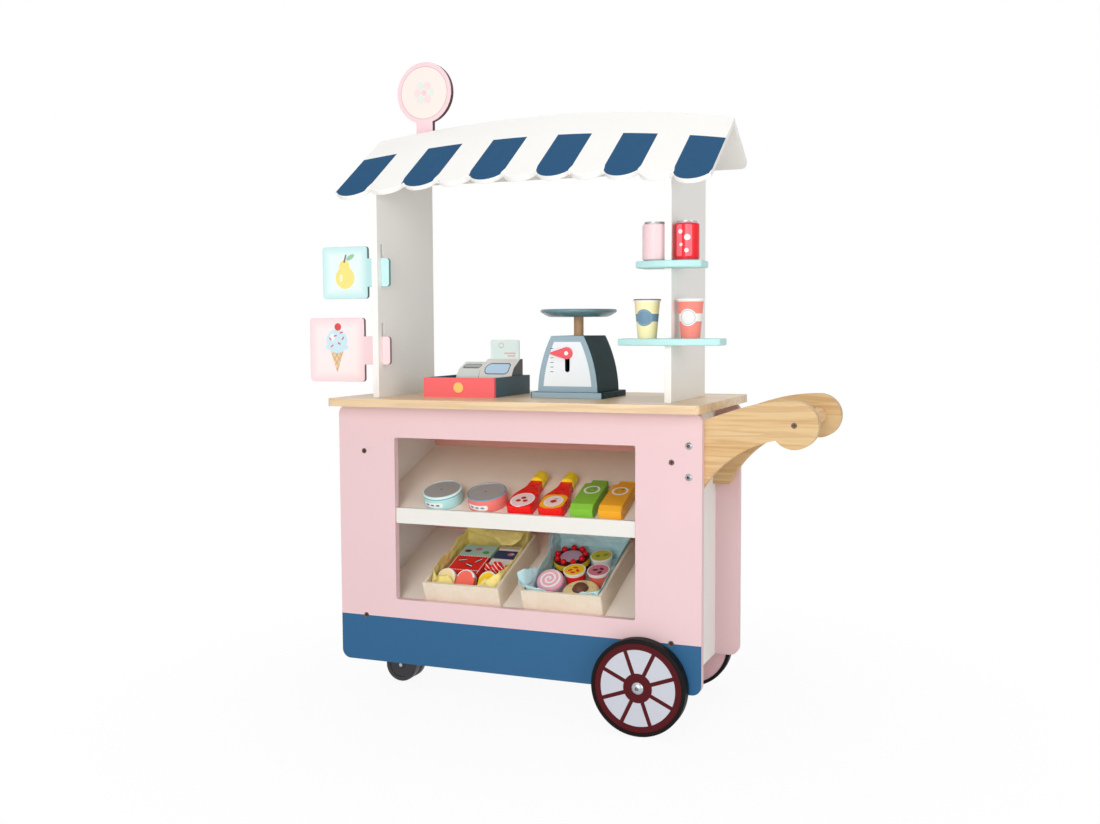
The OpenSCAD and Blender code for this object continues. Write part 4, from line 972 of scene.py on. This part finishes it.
def makeScale():
    dress("scale_base", lacquer("scaleSlate", scale["slate"], footPrint, gloss=scale["gloss"]))
    dress("scale_housing", lacquer("scaleHousingPaint", scale["slate"], housingPrint, gloss=scale["gloss"]))
    panLow, panMiddle = corners("scale_pan")[0], middle("scale_pan")
    pan = lathe("scalePanDish", scale["panProfile"], scale["steps"],
                lambda x, y, z: Vector((panMiddle.x + x, panMiddle.y + y, panLow.z + z)))
    mount(pan, lacquer("scalePanPaint", scale["pan"], roughness=0.26, gloss=0.5), "scale_pan")
    dress("scale_stem", pine("stemPine", 2, **scale["stem"]), scale["stemEdge"])
    dress("scale_pointer", lacquer("pointerPaint", scale["pointer"], pointerPrint, 0.3), scale["pointerEdge"])
    values = lengths(scale["ticks"])
    first = Vector((corners("scale_pointer")[0].x + scale["tickShift"],
                    corners("scale_housing")[0].y - scale["tickStand"],
                    middle("scale_pointer").z - scale["ticks"]["step"]))
    values.update(count=scale["tickCount"], first=first * mm)
    ticks = runPlan(tickPlan(lacquer("tickInk", scale["tick"])), "dialTicks", values)
    mount(ticks, None, "scale_housing", stands=False)


makeScale()
print("scale done")


# till
till = {"red": "#FA6075", "slate": "#486470", "coin": "#F6CF7A", "printer": "#E6EAE5",
        "screenBody": "#EAE6E0", "screen": "#C8E4FC", "screenLine": "#5A6A7C", "side": "#575454",
        "seam": "#8A8A88", "slot": "#6F7773", "slotDepth": "#B4BBB7", "card": "#EDFCF8",
        "cardMark": "#EFA7AE", "coinStand": 1.2, "frontBoard": 6.0, "printerWidth": 40.0, "faceDepth": 9.0,
        "trayEdge": 0.7, "cardEdge": 0.3}


def trayPrint(colour, x, y, z):
    front = corners("cash_tray")[0].y + till["coinStand"]
    colour = over(till["slate"], (colour, below(y, front + till["frontBoard"])))
    return over(colour, (till["coin"], below(y, front - 0.1)))


def tillPrint(colour, x, y, z):
    low, high = corners("till_block")
    seam = low.x + till["printerWidth"]
    front = below(y, high.y - till["faceDepth"])
    printer = below(x, seam)
    colour = over(till["screenBody"], (colour, printer))
    u, v = x - (seam + high.x) / 2, z - low.z - 36
    colour = over(colour, (till["seam"], between(x, seam - 0.5, seam + 0.3)),
                  (till["screenLine"], plate(u, v, 43, 17.5, 7.5) * front),
                  (till["screen"], plate(u, v, 40, 14.5, 6) * front))
    u, v = x - low.x - till["printerWidth"] / 2, z - low.z - 39.5
    slot = printer * front
    return over(colour, (till["slot"], plate(u, v, 31, 6.4, 3.1) * slot),
                (till["slotDepth"], plate(u, v - 0.5, 28.4, 3.6, 1.7) * slot),
                (till["side"], above(x, high.x - 0.4)))


def cardPrint(colour, x, y, z):
    low, high = corners("payment_card")
    u, v = x - (low.x + high.x) / 2, z - high.z
    marks = band(u + 6, v + 9, 4, 1.2).atLeast(plate(u - 9, v + 22, 20, 2.4, 1.2))
    marks = marks.atLeast(plate(u - 12, v + 26, 14, 2.4, 1.2))
    return over(colour, (till["cardMark"], marks * 0.8))


dress("cash_tray", lacquer("trayPaint", till["red"], trayPrint, gloss=0.12), till["trayEdge"])
dress("till_block", lacquer("tillPaint", till["printer"], tillPrint))
dress("payment_card", lacquer("cardPrint", till["card"], cardPrint), till["cardEdge"])
print("till done")


# cans and cups on the side shelves
drinks = {"pink": "#F2D3D6", "red": "#E8222B", "redPanel": "#F0707C", "lid": "#B9B6B8", "bubble": "#FBE9E9",
          "cream": "#FBEFBA", "sleeve": "#7294AB", "sleeveLine": "#8FAEC0", "coral": "#F58D80",
          "sleeveWhite": "#EFEDEA", "rim": "#F4F1EC", "slateLid": "#5E7684", "rimHeight": 4.2,
          "lidHeight": 1.7, "sleeveLow": 22.0, "sleeveHigh": 37.0, "sleeveInset": 2.0, "labelRadius": 12.0,
          "lidTop": 3.4, "foot": 1.5, "canEdge": 0.5, "cupEdge": 0.4}


def canPrint(node, panel):
    low, high = corners(node)
    centre = middle(node)

    def lid(z):
        return above(z, high.z - drinks["lidTop"])

    def decorate(colour, x, y, z):
        u, v = x - centre.x, z - centre.z
        if panel:
            front = below(y, centre.y)
            colour = over(colour, (drinks["redPanel"], plate(u, v, 22, 44, 3) * front),
                          (drinks["red"], between(u, -2.5, 2.5) * front))
            for bu, bv, size in ((-5, 12, 3.2), (5, 4, 4.2), (-4, -6, 2.4), (4, -14, 3)):
                colour = over(colour, (drinks["bubble"], disc(u - bu, v - bv, size) * front))
        return over(colour, (drinks["lid"], lid(z).atLeast(below(z, low.z + drinks["foot"]))))

    def shine(x, y, z):
        return lid(z) * 0.8
    return decorate, shine


def cupPrint(node, sleeve, lid):
    low, high = corners(node)
    centre = middle(node)
    bottom, top, inset = [drinks[name] for name in ("sleeveLow", "sleeveHigh", "sleeveInset")]

    def decorate(colour, x, y, z):
        u, v = x - centre.x, z - low.z - (bottom + top) / 2
        wrap = between(z, low.z + bottom + inset, low.z + top - inset)
        label = disc(u, v, drinks["labelRadius"]) * below(y, centre.y)
        return over(colour, (drinks[sleeve], wrap.atLeast(label)),
                    (drinks["sleeveLine"], band(u, v, drinks["labelRadius"] - 2, 0.7) * label),
                    (drinks["rim"], above(z, high.z - drinks["rimHeight"])),
                    (drinks[lid], above(z, high.z - drinks["lidHeight"])))
    return decorate


for node, tone, panel in (("pink_can", "pink", False), ("red_can", "red", True)):
    decorate, shine = canPrint(node, panel)
    dress(node, lacquer(node + "Paint", drinks[tone], decorate, 0.3, shine), drinks["canEdge"])
for node, tone, sleeve, lid in (("yellow_cup", "cream", "sleeve", "slateLid"),
                                ("coral_cup", "coral", "sleeveWhite", "rim")):
    dress(node, lacquer(node + "Paint", drinks[tone], cupPrint(node, sleeve, lid)), drinks["cupEdge"])
print("drinks done")


# places on the sloping shelves: across, up the slope and above it
slopeAngle = 20.0


def onSlope(y, z):
    return turned(y, z, slopeAngle)


def fromSlope(x, along, height):
    return Vector((x, *turned(along, height, -slopeAngle)))


def slopeSpan(vertices):
    points = [vertex.co / mm for vertex in vertices]
    return boxOf([Vector((point.x, *onSlope(point.y, point.z))) for point in points])


def slopeBox(node):
    return slopeSpan(frame["nodes"][node].data.vertices)


# goods on the upper shelf
goods = {"tinTop": "#B6B7B8", "tinHole": "#3C3C3E", "mintRing": "#D6F0EF", "mintLine": "#3F8E98",
         "coralLine": "#7298AC", "tinLabel": "#F6EEEA", "mint": "#B4E2E2", "coral": "#F08278",
         "bottle": "#F1221F", "cap": "#FBDF2E", "label": "#FCF6F5", "labelField": "#F7DCDD",
         "labelYellow": "#F8BC26", "tinEdge": 0.4, "bottleEdge": 2.0, "bottleSegments": 4,
         "mark": "#C8242B", "leaf": "#4E8E3A", "green": "#86C43E", "orange": "#F5AE2B", "ring": "#F4F4EE",
         "bottleLean": 1.5, "bottleFoot": (20.8, 0.4), "bottleThick": 15.5, "labelAt": 21.0, "capAt": 83.4,
         "ringAt": 54.8, "ringRadius": 11.0, "ringWidth": 3.3, "lidSunk": 2.4, "lidRim": 2.3}


def tinPrint(node, line, ring):
    low, high = slopeBox(node)
    centre = (low + high) / 2
    radius = (high.x - low.x) / 2

    def lid(u, v, height):
        return above(height, high.z - goods["lidSunk"]) * disc(u, v, radius - goods["lidRim"])

    def decorate(colour, x, y, z):
        along, height = onSlope(y, z)
        u, v, h = x - centre.x, along - centre.y, height - low.z
        front = below(v, 0)
        colour = over(colour, (goods["tinLabel"], plate(u + 5, h - 8.5, 34, 8, 3) * front))
        for du in (-14, -5, 4):
            colour = over(colour, (line, oval(u - du, h - 8.5, 3.2, 1.5) * front))
        if ring:
            colour = over(colour, (ring, above(height, high.z - 3.4)),
                          (line, between(height, high.z - 4.6, high.z - 3.4)))
        else:
            colour = over(colour, (line, above(height, high.z - 2.0)))
        top = lid(u, v, height)
        return over(colour, (goods["tinTop"], top), (goods["tinHole"], disc(u + 2, v - 1, 1.4) * top))

    def shine(x, y, z):
        along, height = onSlope(y, z)
        return lid(x - centre.x, along - centre.y, height) * 0.3
    return decorate, shine


def bottlePrint(node, yellow):
    low = slopeBox(node)[0]
    foot = goods["bottleFoot"]

    def decorate(colour, x, y, z):
        along, height = onSlope(y, z)
        u, v = turned(x - low.x - foot[0], along - low.y - foot[1], goods["bottleLean"])
        top = above(height, low.z + goods["bottleThick"] - 0.8)
        v0 = v - goods["labelAt"]
        if yellow:
            layers = [(goods["labelYellow"], plate(u, v0, 37, 42, 12)),
                      (goods["label"], oval(u, v0, 14.5, 16.5)),
                      (goods["labelField"], oval(u, v0, 12.5, 14.5)),
                      (goods["mark"], plate(*turned(u, v0, 45), 9, 9, 2.5)),
                      (goods["leaf"], oval(u - 2, v0 - 7.5, 3, 1.3))]
        else:
            layers = [(goods["label"], oval(u, v0, 18.4, 21.5)),
                      (goods["labelField"], oval(u, v0, 16.2, 19.3))]
            for du, dv in ((-5.5, -3), (5.5, -3), (0, 6)):
                layers.append((goods["mark"], disc(u - du, v0 - dv, 4.0)))
        colour = over(colour, *((tone, mask * top) for tone, mask in layers))
        return over(colour, (goods["cap"], above(v, goods["capAt"])))
    return decorate


def cartonPrint(node, tone):
    low, high = slopeBox(node)

    def decorate(colour, x, y, z):
        along, height = onSlope(y, z)
        u, v = x - (low.x + high.x) / 2, along - low.y - goods["ringAt"]
        top = above(height, high.z - 1.0)
        return over(colour, (goods["ring"], band(u, v, goods["ringRadius"], goods["ringWidth"]) * top),
                    (shade(tone, 0.72), band(u, v + 0.5, 5.0, 1.4) * top),
                    (goods["leaf"], oval(*turned(u - 3, v - 6.5, 35), 3.2, 1.5) * top),
                    (shade(tone, 1.25), between(along - low.y, 4.0, 4.8) * top * 0.6))
    return decorate


for node, tone in (("mint_tin", "mint"), ("coral_tin", "coral")):
    decorate, shine = tinPrint(node, goods[tone + "Line"], goods.get(tone + "Ring"))
    dress(node, lacquer(node + "Paint", goods[tone], decorate, 0.36, shine), goods["tinEdge"])
for node, yellow in (("left_bottle", False), ("right_bottle", True)):
    paint = lacquer(node + "Paint", goods["bottle"], bottlePrint(node, yellow), 0.28)
    dress(node, paint, goods["bottleEdge"], goods["bottleSegments"])
for node, tone in (("green_carton", "green"), ("orange_carton", "orange")):
    dress(node, lacquer(node + "Paint", goods[tone], cartonPrint(node, goods[tone]), 0.36))
print("shelf goods done")


# crates
crate = {"pale": "#E9DCC9", "mid": "#E3D3BC", "dark": "#D1BB9B", "rings": 0.10, "pores": 0.22,
         "roughness": 0.6}
crateWood = pine("crateWood", 1, **crate)
for node in ("left_crate", "right_crate"):
    dress(node, crateWood)


# paper liners: a floor and four walls of one sheet, crumpled, with flaps turned in or out over the rim
# wall heights run front, right, rear, left; a flap has its side, its place along it, its half width, its
# extra length, the angle it leans out by and the height it starts to lean at
liner = {"step": 2.5, "rows": 22, "rings": 9, "corner": 5.0, "cornerSteps": 4, "inset": 0.35, "rim": 30.6,
         "bend": 7.0, "thick": 0.22, "crumple": 1.5, "loose": 2.6, "grain": 0.055, "ragged": 2.6, "lift": 0.3,
         "turnedOver": 15, "crateFloor": 4.0, "waviness": 8, "waveGrain": 0.04, "ragGrain": 0.11,
         "floorGrain": 0.07, "floorRise": 0.5, "stretch": 1.7, "blendFrom": 0.42, "smoothAngle": 60}
linerSides = ("front", "right", "rear", "left")
linerLooks = {
    "left_crate_liner": {"tone": "#FCE992", "seed": 4.0, "walls": (17, 33, 42, 34), "flaps": (
        ("front", 0.16, 36, 22, -50, 13.0), ("front", 0.86, 30, 22, -50, 13.0),
        ("right", 0.14, 26, 6, -24, 28.0), ("rear", 0.72, 50, 28, -118, 36.0), ("left", 0.78, 40, 5, 6, 30.6),
        ("left", 0.30, 34, 7, -20, 30.6))},
    "right_crate_liner": {"tone": "#C8ECF1", "seed": 11.0, "walls": (20, 32, 40, 35), "flaps": (
        ("left", 0.12, 38, 13, 30, 30.6), ("front", 0.12, 36, 14, 20, 30.6), ("left", 0.86, 34, 19, 16, 30.6),
        ("rear", 0.90, 40, 8, 30, 30.6), ("front", 0.88, 30, 14, 34, 30.6), ("right", 0.16, 34, 5, 30, 30.6),
        ("right", 0.70, 46, 4, 14, 30.6))}}


# points around a box with rounded corners, each with its outward direction and how far along the edge it is
def linerEdge(width, length):
    r = liner["corner"]
    w, d = width / 2 - r, length / 2 - r
    centres = [Vector(spot) for spot in ((w, -d), (w, d), (-w, d), (-w, -d))]
    outline = []
    for i, centre in enumerate(centres):
        start = 90 * (i - 1)
        out = heading(start)
        first, last = centre + r * out, centres[i - 1] + r * out
        count = max(2, int((first - last).length / liner["step"]))
        outline += [(last.lerp(first, k / count), out, i + k / count) for k in range(count)]
        for k in range(liner["cornerSteps"]):
            out = heading(start + 90 * k / liner["cornerSteps"])
            outline.append((centre + r * out, out, i + 1.0))
    return outline


# height, lean and bend of the paper wall at one point of the edge
def linerWall(looks, point, at, sides):
    side, near = int(at) % 4, at - int(at)
    blend = max(0.0, abs(near - 0.5) - liner["blendFrom"]) / (0.5 - liner["blendFrom"]) * 0.5
    other = looks["walls"][(side + (1 if near > 0.5 else -1)) % 4]
    wall = looks["walls"][side] * (1 - blend) + other * blend
    lean = liner["waviness"] * noise.noise(Vector((point.x, point.y, looks["seed"])) * liner["waveGrain"])
    bendAt = liner["rim"]
    for flapSide, share, reach, extra, angle, start in looks["flaps"]:
        centre = linerSides.index(flapSide) + (share if flapSide in ("front", "right") else 1 - share)
        gap = ((at - centre + 2) % 4 - 2) * sides[linerSides.index(flapSide)]
        pull = min(1.0, 1.2 * max(0.0, 1 - abs(gap) / reach))
        wall += extra * pull
        lean += angle * min(1.0, 1.6 * pull)
        bendAt += (start - liner["rim"]) * min(1.0, 2.5 * pull)
    wall += liner["ragged"] * noise.noise(Vector((point.x, point.y, 3 * looks["seed"])) * liner["ragGrain"])
    return wall, lean, bendAt


# how far out and how high each row of the wall lies at one point of the edge
def linerColumn(looks, point, wall, lean, bendAt):
    outward, height = 0.0, liner["lift"]
    step = wall / liner["rows"]
    shift = Vector((1, 2, 3)) * looks["seed"]
    for k in range(liner["rows"]):
        beyond = max(0.0, (k + 0.5) * step - bendAt)
        angle = math.radians(lean) * min(1.0, beyond / liner["bend"])
        outward += math.sin(angle) * step
        height += math.cos(angle) * step
        run = (k + 1) * step
        spot = Vector((point.x, point.y, run * liner["stretch"]))
        crease = 1 - abs(noise.noise(spot * liner["grain"] + shift)) * 2
        free = min(1.0, max(0.0, run - liner["rim"] + 4) / 8)
        fold = max(0.0, crease * (liner["crumple"] + (liner["loose"] - liner["crumple"]) * free))
        fold *= min(1.0, run / 6)
        if abs(lean) > liner["turnedOver"] and beyond:
            yield outward + math.copysign(0.3 * fold, lean), height + 0.7 * fold
        else:
            yield outward - fold, height


def makeLiner(node):
    looks = linerLooks[node]
    carrier = node.replace("_liner", "")
    low, high = slopeBox(node)
    width, length = high.x - low.x - 2 * liner["inset"], high.y - low.y - 2 * liner["inset"]
    cx, cy = (low.x + high.x) / 2, (low.y + high.y) / 2
    base = slopeBox(carrier)[0].z + liner["crateFloor"]
    bm = bmesh.new()

    def add(x, y, z):
        return bm.verts.new(fromSlope(cx + x, cy + y, base + z) * mm)

    outline = linerEdge(width, length)
    rows = []
    for k in range(1, liner["rings"] + 1):
        share = k / liner["rings"]
        spots = [Vector((point.x * share, point.y * share, 0)) for point, out, at in outline]
        rise = liner["floorRise"] * (1 - share ** 6)
        heights = [liner["lift"] + abs(noise.noise(spot * liner["floorGrain"])) * rise for spot in spots]
        rows.append([add(spot.x, spot.y, height) for spot, height in zip(spots, heights)])
    heart = add(0, 0, liner["lift"])
    columns = []
    for point, out, at in outline:
        wall = linerWall(looks, point, at, (width, length, width, length))
        columns.append([add(point.x + out.x * shift, point.y + out.y * shift, rise)
                        for shift, rise in linerColumn(looks, point, *wall)])
    rows += zip(*columns)
    for i in range(len(outline)):
        j = (i + 1) % len(outline)
        bm.faces.new((heart, rows[0][i], rows[0][j]))
        for inner, outer in zip(rows, rows[1:]):
            bm.faces.new((inner[i], outer[i], outer[j], inner[j]))
    bmesh.ops.recalc_face_normals(bm, faces=bm.faces)
    area = sum(face.calc_area() for face in bm.faces)
    piece = toPiece(bm, node + "Sheet", liner["smoothAngle"])
    skin = piece.modifiers.new("thickness", "SOLIDIFY")
    skin.thickness = liner["thick"] * mm
    skin.offset = 0.0
    mount(piece, paper(node + "Paper", looks["tone"]), node)
    reach = 2 * max(looks["walls"]) * mm
    flat = (width * mm + reach, length * mm + reach)
    print("liner", node, "flat", [round(side, 3) for side in flat], "area", round(area, 4))


for node in linerLooks:
    makeLiner(node)


# what lies in the crates; u runs across, v up the slope, h above the piece's underside
sweets = {"white": "#F4F0EA", "cream": "#F6E1A4", "coral": "#F8705E", "yellow": "#F8CC1C", "red": "#EC2A27",
          "mint": "#A9CDC0", "navy": "#2E4166", "kraft": "#D6C3A8", "plum": "#5A2030", "rose": "#D0788C",
          "green": "#56A03C", "chocolate": "#6B4434", "biscuit": "#2E2226", "lilac": "#C3A6BE",
          "candy": "#F4AEC4", "sponge": "#EBC42C", "icing": "#3A1418", "lime": "#C9C23E", "berry": "#D3141E",
          "printDepth": 0.6}


def biscuitBox(colour, u, v, h, size):
    top = above(h, size.z - sweets["printDepth"])
    zigzag = v - abs(u.wrap(4.6) - 2.3) * 0.9
    seam = zigzag - 6
    lines = inside(abs(seam) - 0.7).atLeast(inside(abs(zigzag + size.y / 2 - 6) - 0.7))
    lines = lines.atLeast(inside(abs(abs(u) - size.x / 2 + 1.6) - 0.5) * below(seam, 0))
    colour = over(colour, (sweets["mint"], above(seam, 0)), (sweets["white"], lines * top))
    for du, dv, tone in ((-16, 22, "plum"), (0, 29, "rose"), (16, 20, "green")):
        colour = over(colour, (sweets[tone], oval(u - du, v - dv, 5.6, 4.2) * top))
    for du, dv, lean in ((-13, -6, 18), (4, -20, -24), (14, -5, 52)):
        a, b = turned(u - du, v - dv, lean)
        colour = over(colour, (sweets["biscuit"], plate(a, b, 13, 8, 3.4) * top),
                      (sweets["white"], plate(a, b, 13, 2.4, 1) * top))
    return colour


def smallBox(colour, u, v, h, size):
    top = above(h, size.z - sweets["printDepth"])
    return over(colour, (sweets["navy"], between(v, -11, 14)), (sweets["kraft"], above(v, 20)),
                (sweets["rose"], oval(u - 7, v - 4, 6, 4.6) * top),
                (sweets["white"], oval(u - 8.5, v - 5.5, 2, 1.2) * top))


def wrappedSweet(colour, u, v, h, size):
    return over(colour, (sweets["white"], below((u + v * 0.7 + h * 0.7).wrap(7.4), 1.5)))


def lolly(colour, u, v, h, size):
    crown = v - (size.y - size.x) / 2
    rim = above(span(u, crown.atLeast(0)), size.x / 2 - 2.6) * above(crown, 3)
    return over(colour, (sweets["white"], rim.atLeast(below(h, 4.5))))


def pot(lid, mark, spots):
    def draw(colour, u, v, h, size):
        top = above(h, size.z - 0.5)
        colour = over(colour, (sweets["white"], above(h, size.z - 5)),
                      (sweets[lid], disc(u, v, size.x / 2 - 1.8) * top))
        for du, dv, lean in spots:
            colour = over(colour, (sweets[mark], oval(*turned(u - du, v - dv, lean), 4.2, 2.6) * top))
        return colour
    return draw


def swirl(colour, u, v, h, size):
    pitch = size.x * 0.17
    turn = span(u, v) - v.angleFrom(u) * (pitch / (2 * math.pi))
    stripe = below(turn.wrap(pitch), pitch * 0.45) * disc(u, v, size.x / 2 - 3)
    return over(colour, (sweets["white"], stripe * above(h, size.z - 2.5)),
                (shade(sweets["lilac"], 0.85), below(h, size.z * 0.55)))


def pie(colour, u, v, h, size):
    for i in range(5):
        spot = heading(72 * i + 20) * 20
        colour = over(colour, (shade(sweets["coral"], 1.3), oval(u - spot.x, v - spot.y, 4, 3) * 0.25))
    return over(colour, (sweets["chocolate"], disc(u, v, 12.7) * above(h, 18.9)))


# a propped-up piece has its angle, how far its top hangs over in front, and its own size
lollyLooks = {"draw": lolly, "edge": 2.4, "lean": (40, 8.45, (31, 40, 13))}
crateGoods = {
    "left_crate_goods": {
        "biscuitBox": {"at": (0.34, 0.55), "tone": "red", "draw": biscuitBox, "edge": 0.8},
        "smallBox": {"at": (0.75, 0.65), "tone": "white", "draw": smallBox, "edge": 0.8},
        "wrappedSweet": {"at": (0.77, 0.40), "tone": "red", "draw": wrappedSweet, "edge": 0.6, "lift": 14.0},
        "creamLolly": {"at": (0.22, 0.16), "tone": "cream", **lollyLooks},
        "coralLolly": {"at": (0.47, 0.16), "tone": "coral", **lollyLooks},
        "yellowLolly": {"at": (0.77, 0.16), "tone": "yellow", **lollyLooks}},
    "right_crate_goods": {
        "berryCake": {"at": (0.29, 0.74)},
        "limePot": {"at": (0.68, 0.75), "tone": "white", "edge": 0.5,
                    "draw": pot("lime", "green", ((-5, -2, 0), (-5, -2, 90), (6, 3, 40)))},
        "redPot": {"at": (0.46, 0.47), "tone": "red", "edge": 0.5,
                   "draw": pot("yellow", "red", ((0, 6, 0), (-6, -2, 60), (6, -2, -60), (0, -8, 0)))},
        "coralPot": {"at": (0.75, 0.495), "tone": "coral", "edge": 0.5,
                     "draw": pot("rose", "plum", ((-5, 0, 20), (4, 4, -40), (4, -6, 60)))},
        "swirlSweet": {"at": (0.23, 0.30), "tone": "candy", "draw": swirl, "edge": 0,
                       "lean": (22, 4.93, (42, 42, 18))},
        "domePie": {"at": (0.65, 0.215), "tone": "cream", "draw": pie, "edge": 0}}}
cake = {"profile": ((27.4, 0), (28.5, 1.0), (28.5, 8.0), (27.8, 8.7), (28.5, 9.4), (28.5, 16.6), (28.1, 18.3),
                    (26.8, 19.4), (25.0, 19.9), (17.6, 20.0), (17.0, 20.7), (8.0, 21.0)),
        "steps": 72, "icingTop": 8.6, "icingFrom": 17.8, "creamRadius": 17.3, "creamFrom": 16, "count": 9,
        "berry": 4.6, "ring": 22.4, "berryLift": 22.3, "swing": 0.06, "first": 0.3, "dent": 0.22,
        "dentFall": 22, "seed": 5}


def cakePaint(centre, base):
    def decorate(colour, x, y, z):
        along, height = onSlope(y, z)
        away, h = span(x - centre.x, along - centre.y), height - base
        return over(colour, (sweets["icing"], below(h, cake["icingTop"])),
                    (sweets["icing"], above(h, cake["icingFrom"])),
                    (sweets["lilac"], below(away, cake["creamRadius"]) * above(h, cake["creamFrom"])))
    return decorate


# a ring of berries, each with a dimple on top
def berryPlan(material):
    size = newPlan("berryRing", Int="count", Float="ring berry swing first tilt", Vector="centre")
    ring, berry = size["ring"], size["berry"]
    circle = ring.node("GeometryNodeMeshCircle", {"Vertices": size["count"], "Radius": ring})
    ball = ring.node("GeometryNodeMeshUVSphere", {"Segments": 28, "Rings": 18, "Radius": berry})
    x, y, z = split(ring.node("GeometryNodeInputPosition"))
    dent = ((x * x + y * y) / (berry * berry) * -cake["dentFall"]).exponent()
    sink = xyz(0.0, 0.0, (z > 0.0) * dent * berry * -cake["dent"])
    dented = ball.node("GeometryNodeSetPosition", {"Geometry": ball, "Offset": sink})
    limits = {2: 1 - size["swing"], 3: 1 + size["swing"], "Seed": cake["seed"]}
    grow = ring.node("FunctionNodeRandomValue", limits, out=1, data_type="FLOAT")
    spun = moved(onPoints(circle, dented, Scale=grow), turn=xyz(0.0, 0.0, size["first"]))
    return endPlan(moved(spun, size["centre"], xyz(size["tilt"], 0.0, 0.0)), material)


def makeCake(node, centre, base):
    piece = lathe("berryCake", cake["profile"], cake["steps"],
                  lambda x, y, z: fromSlope(centre.x + x, centre.y + y, base + z))
    mount(piece, lacquer("cakePaint", sweets["sponge"], cakePaint(centre, base)), node)
    values = {name: cake[name] for name in ("count", "swing", "first")}
    values.update(lengths(cake, "ring", "berry"), tilt=math.radians(slopeAngle),
                  centre=fromSlope(centre.x, centre.y, base + cake["berryLift"]) * mm)
    plan = berryPlan(lacquer("berryPaint", sweets["berry"], roughness=0.3))
    mount(runPlan(plan, "cakeBerries", values), None, node)


def goodsPrint(low, high, draw, lean):
    centre = (low + high) / 2

    def decorate(colour, x, y, z):
        along, height = onSlope(y, z)
        if lean is None:
            return draw(colour, x - centre.x, along - centre.y, height - low.z, high - low)
        tilt, hang, size = lean
        v, h = turned(along - low.y - hang, height - low.z, tilt)
        return draw(colour, x - centre.x, v - size[1] / 2, h, Vector(size))
    return decorate


# an ice lolly: a straight foot and a round top, propped up on its front edge
def lollyBlock(centre, low, lean, arc=16):
    tilt, hang, (width, length, thick) = lean
    half = width / 2
    turns = [heading(180 * k / arc) * half for k in range(arc + 1)]
    outline = [(-half, 0), (half, 0)] + [(turn.x, length - half + turn.y) for turn in turns]
    bm = bmesh.new()

    def add(u, v, h):
        along, height = turned(v, h, -tilt)
        return bm.verts.new(fromSlope(centre.x + u, low.y + hang + along, low.z + height) * mm)

    under, upper = [[add(u, v, h) for u, v in outline] for h in (0, thick)]
    bm.faces.new(under[::-1])
    bm.faces.new(upper)
    for i in range(len(outline)):
        bm.faces.new((under[i - 1], under[i], upper[i], upper[i - 1]))
    return bm


def fillCrate(node):
    bedLow, bedHigh = slopeBox(node.replace("_goods", ""))
    for bm in solidsOf(node):
        low, high = slopeSpan(bm.verts)
        centre = (low + high) / 2
        share = [(centre[i] - bedLow[i]) / (bedHigh[i] - bedLow[i]) for i in range(2)]
        name = min(crateGoods[node], key=lambda piece: math.dist(crateGoods[node][piece]["at"], share))
        looks = crateGoods[node][name]
        if "draw" not in looks:
            bm.free()
            makeCake(node, centre, low.z)
            continue
        if looks["draw"] is lolly:
            bm.free()
            bm = lollyBlock(centre, low, looks["lean"])
        if "lift" in looks:
            bmesh.ops.translate(bm, vec=fromSlope(0, 0, looks["lift"]) * mm, verts=bm.verts)
            low, high = slopeSpan(bm.verts)
        piece = toPiece(bm, name)
        roundEdges(piece, looks["edge"], 4)
        printed = goodsPrint(low, high, looks["draw"], looks.get("lean"))
        mount(piece, lacquer(name + "Paint", sweets[looks["tone"]], printed, 0.4), node)


for node in crateGoods:
    fillCrate(node)
print("crates done")
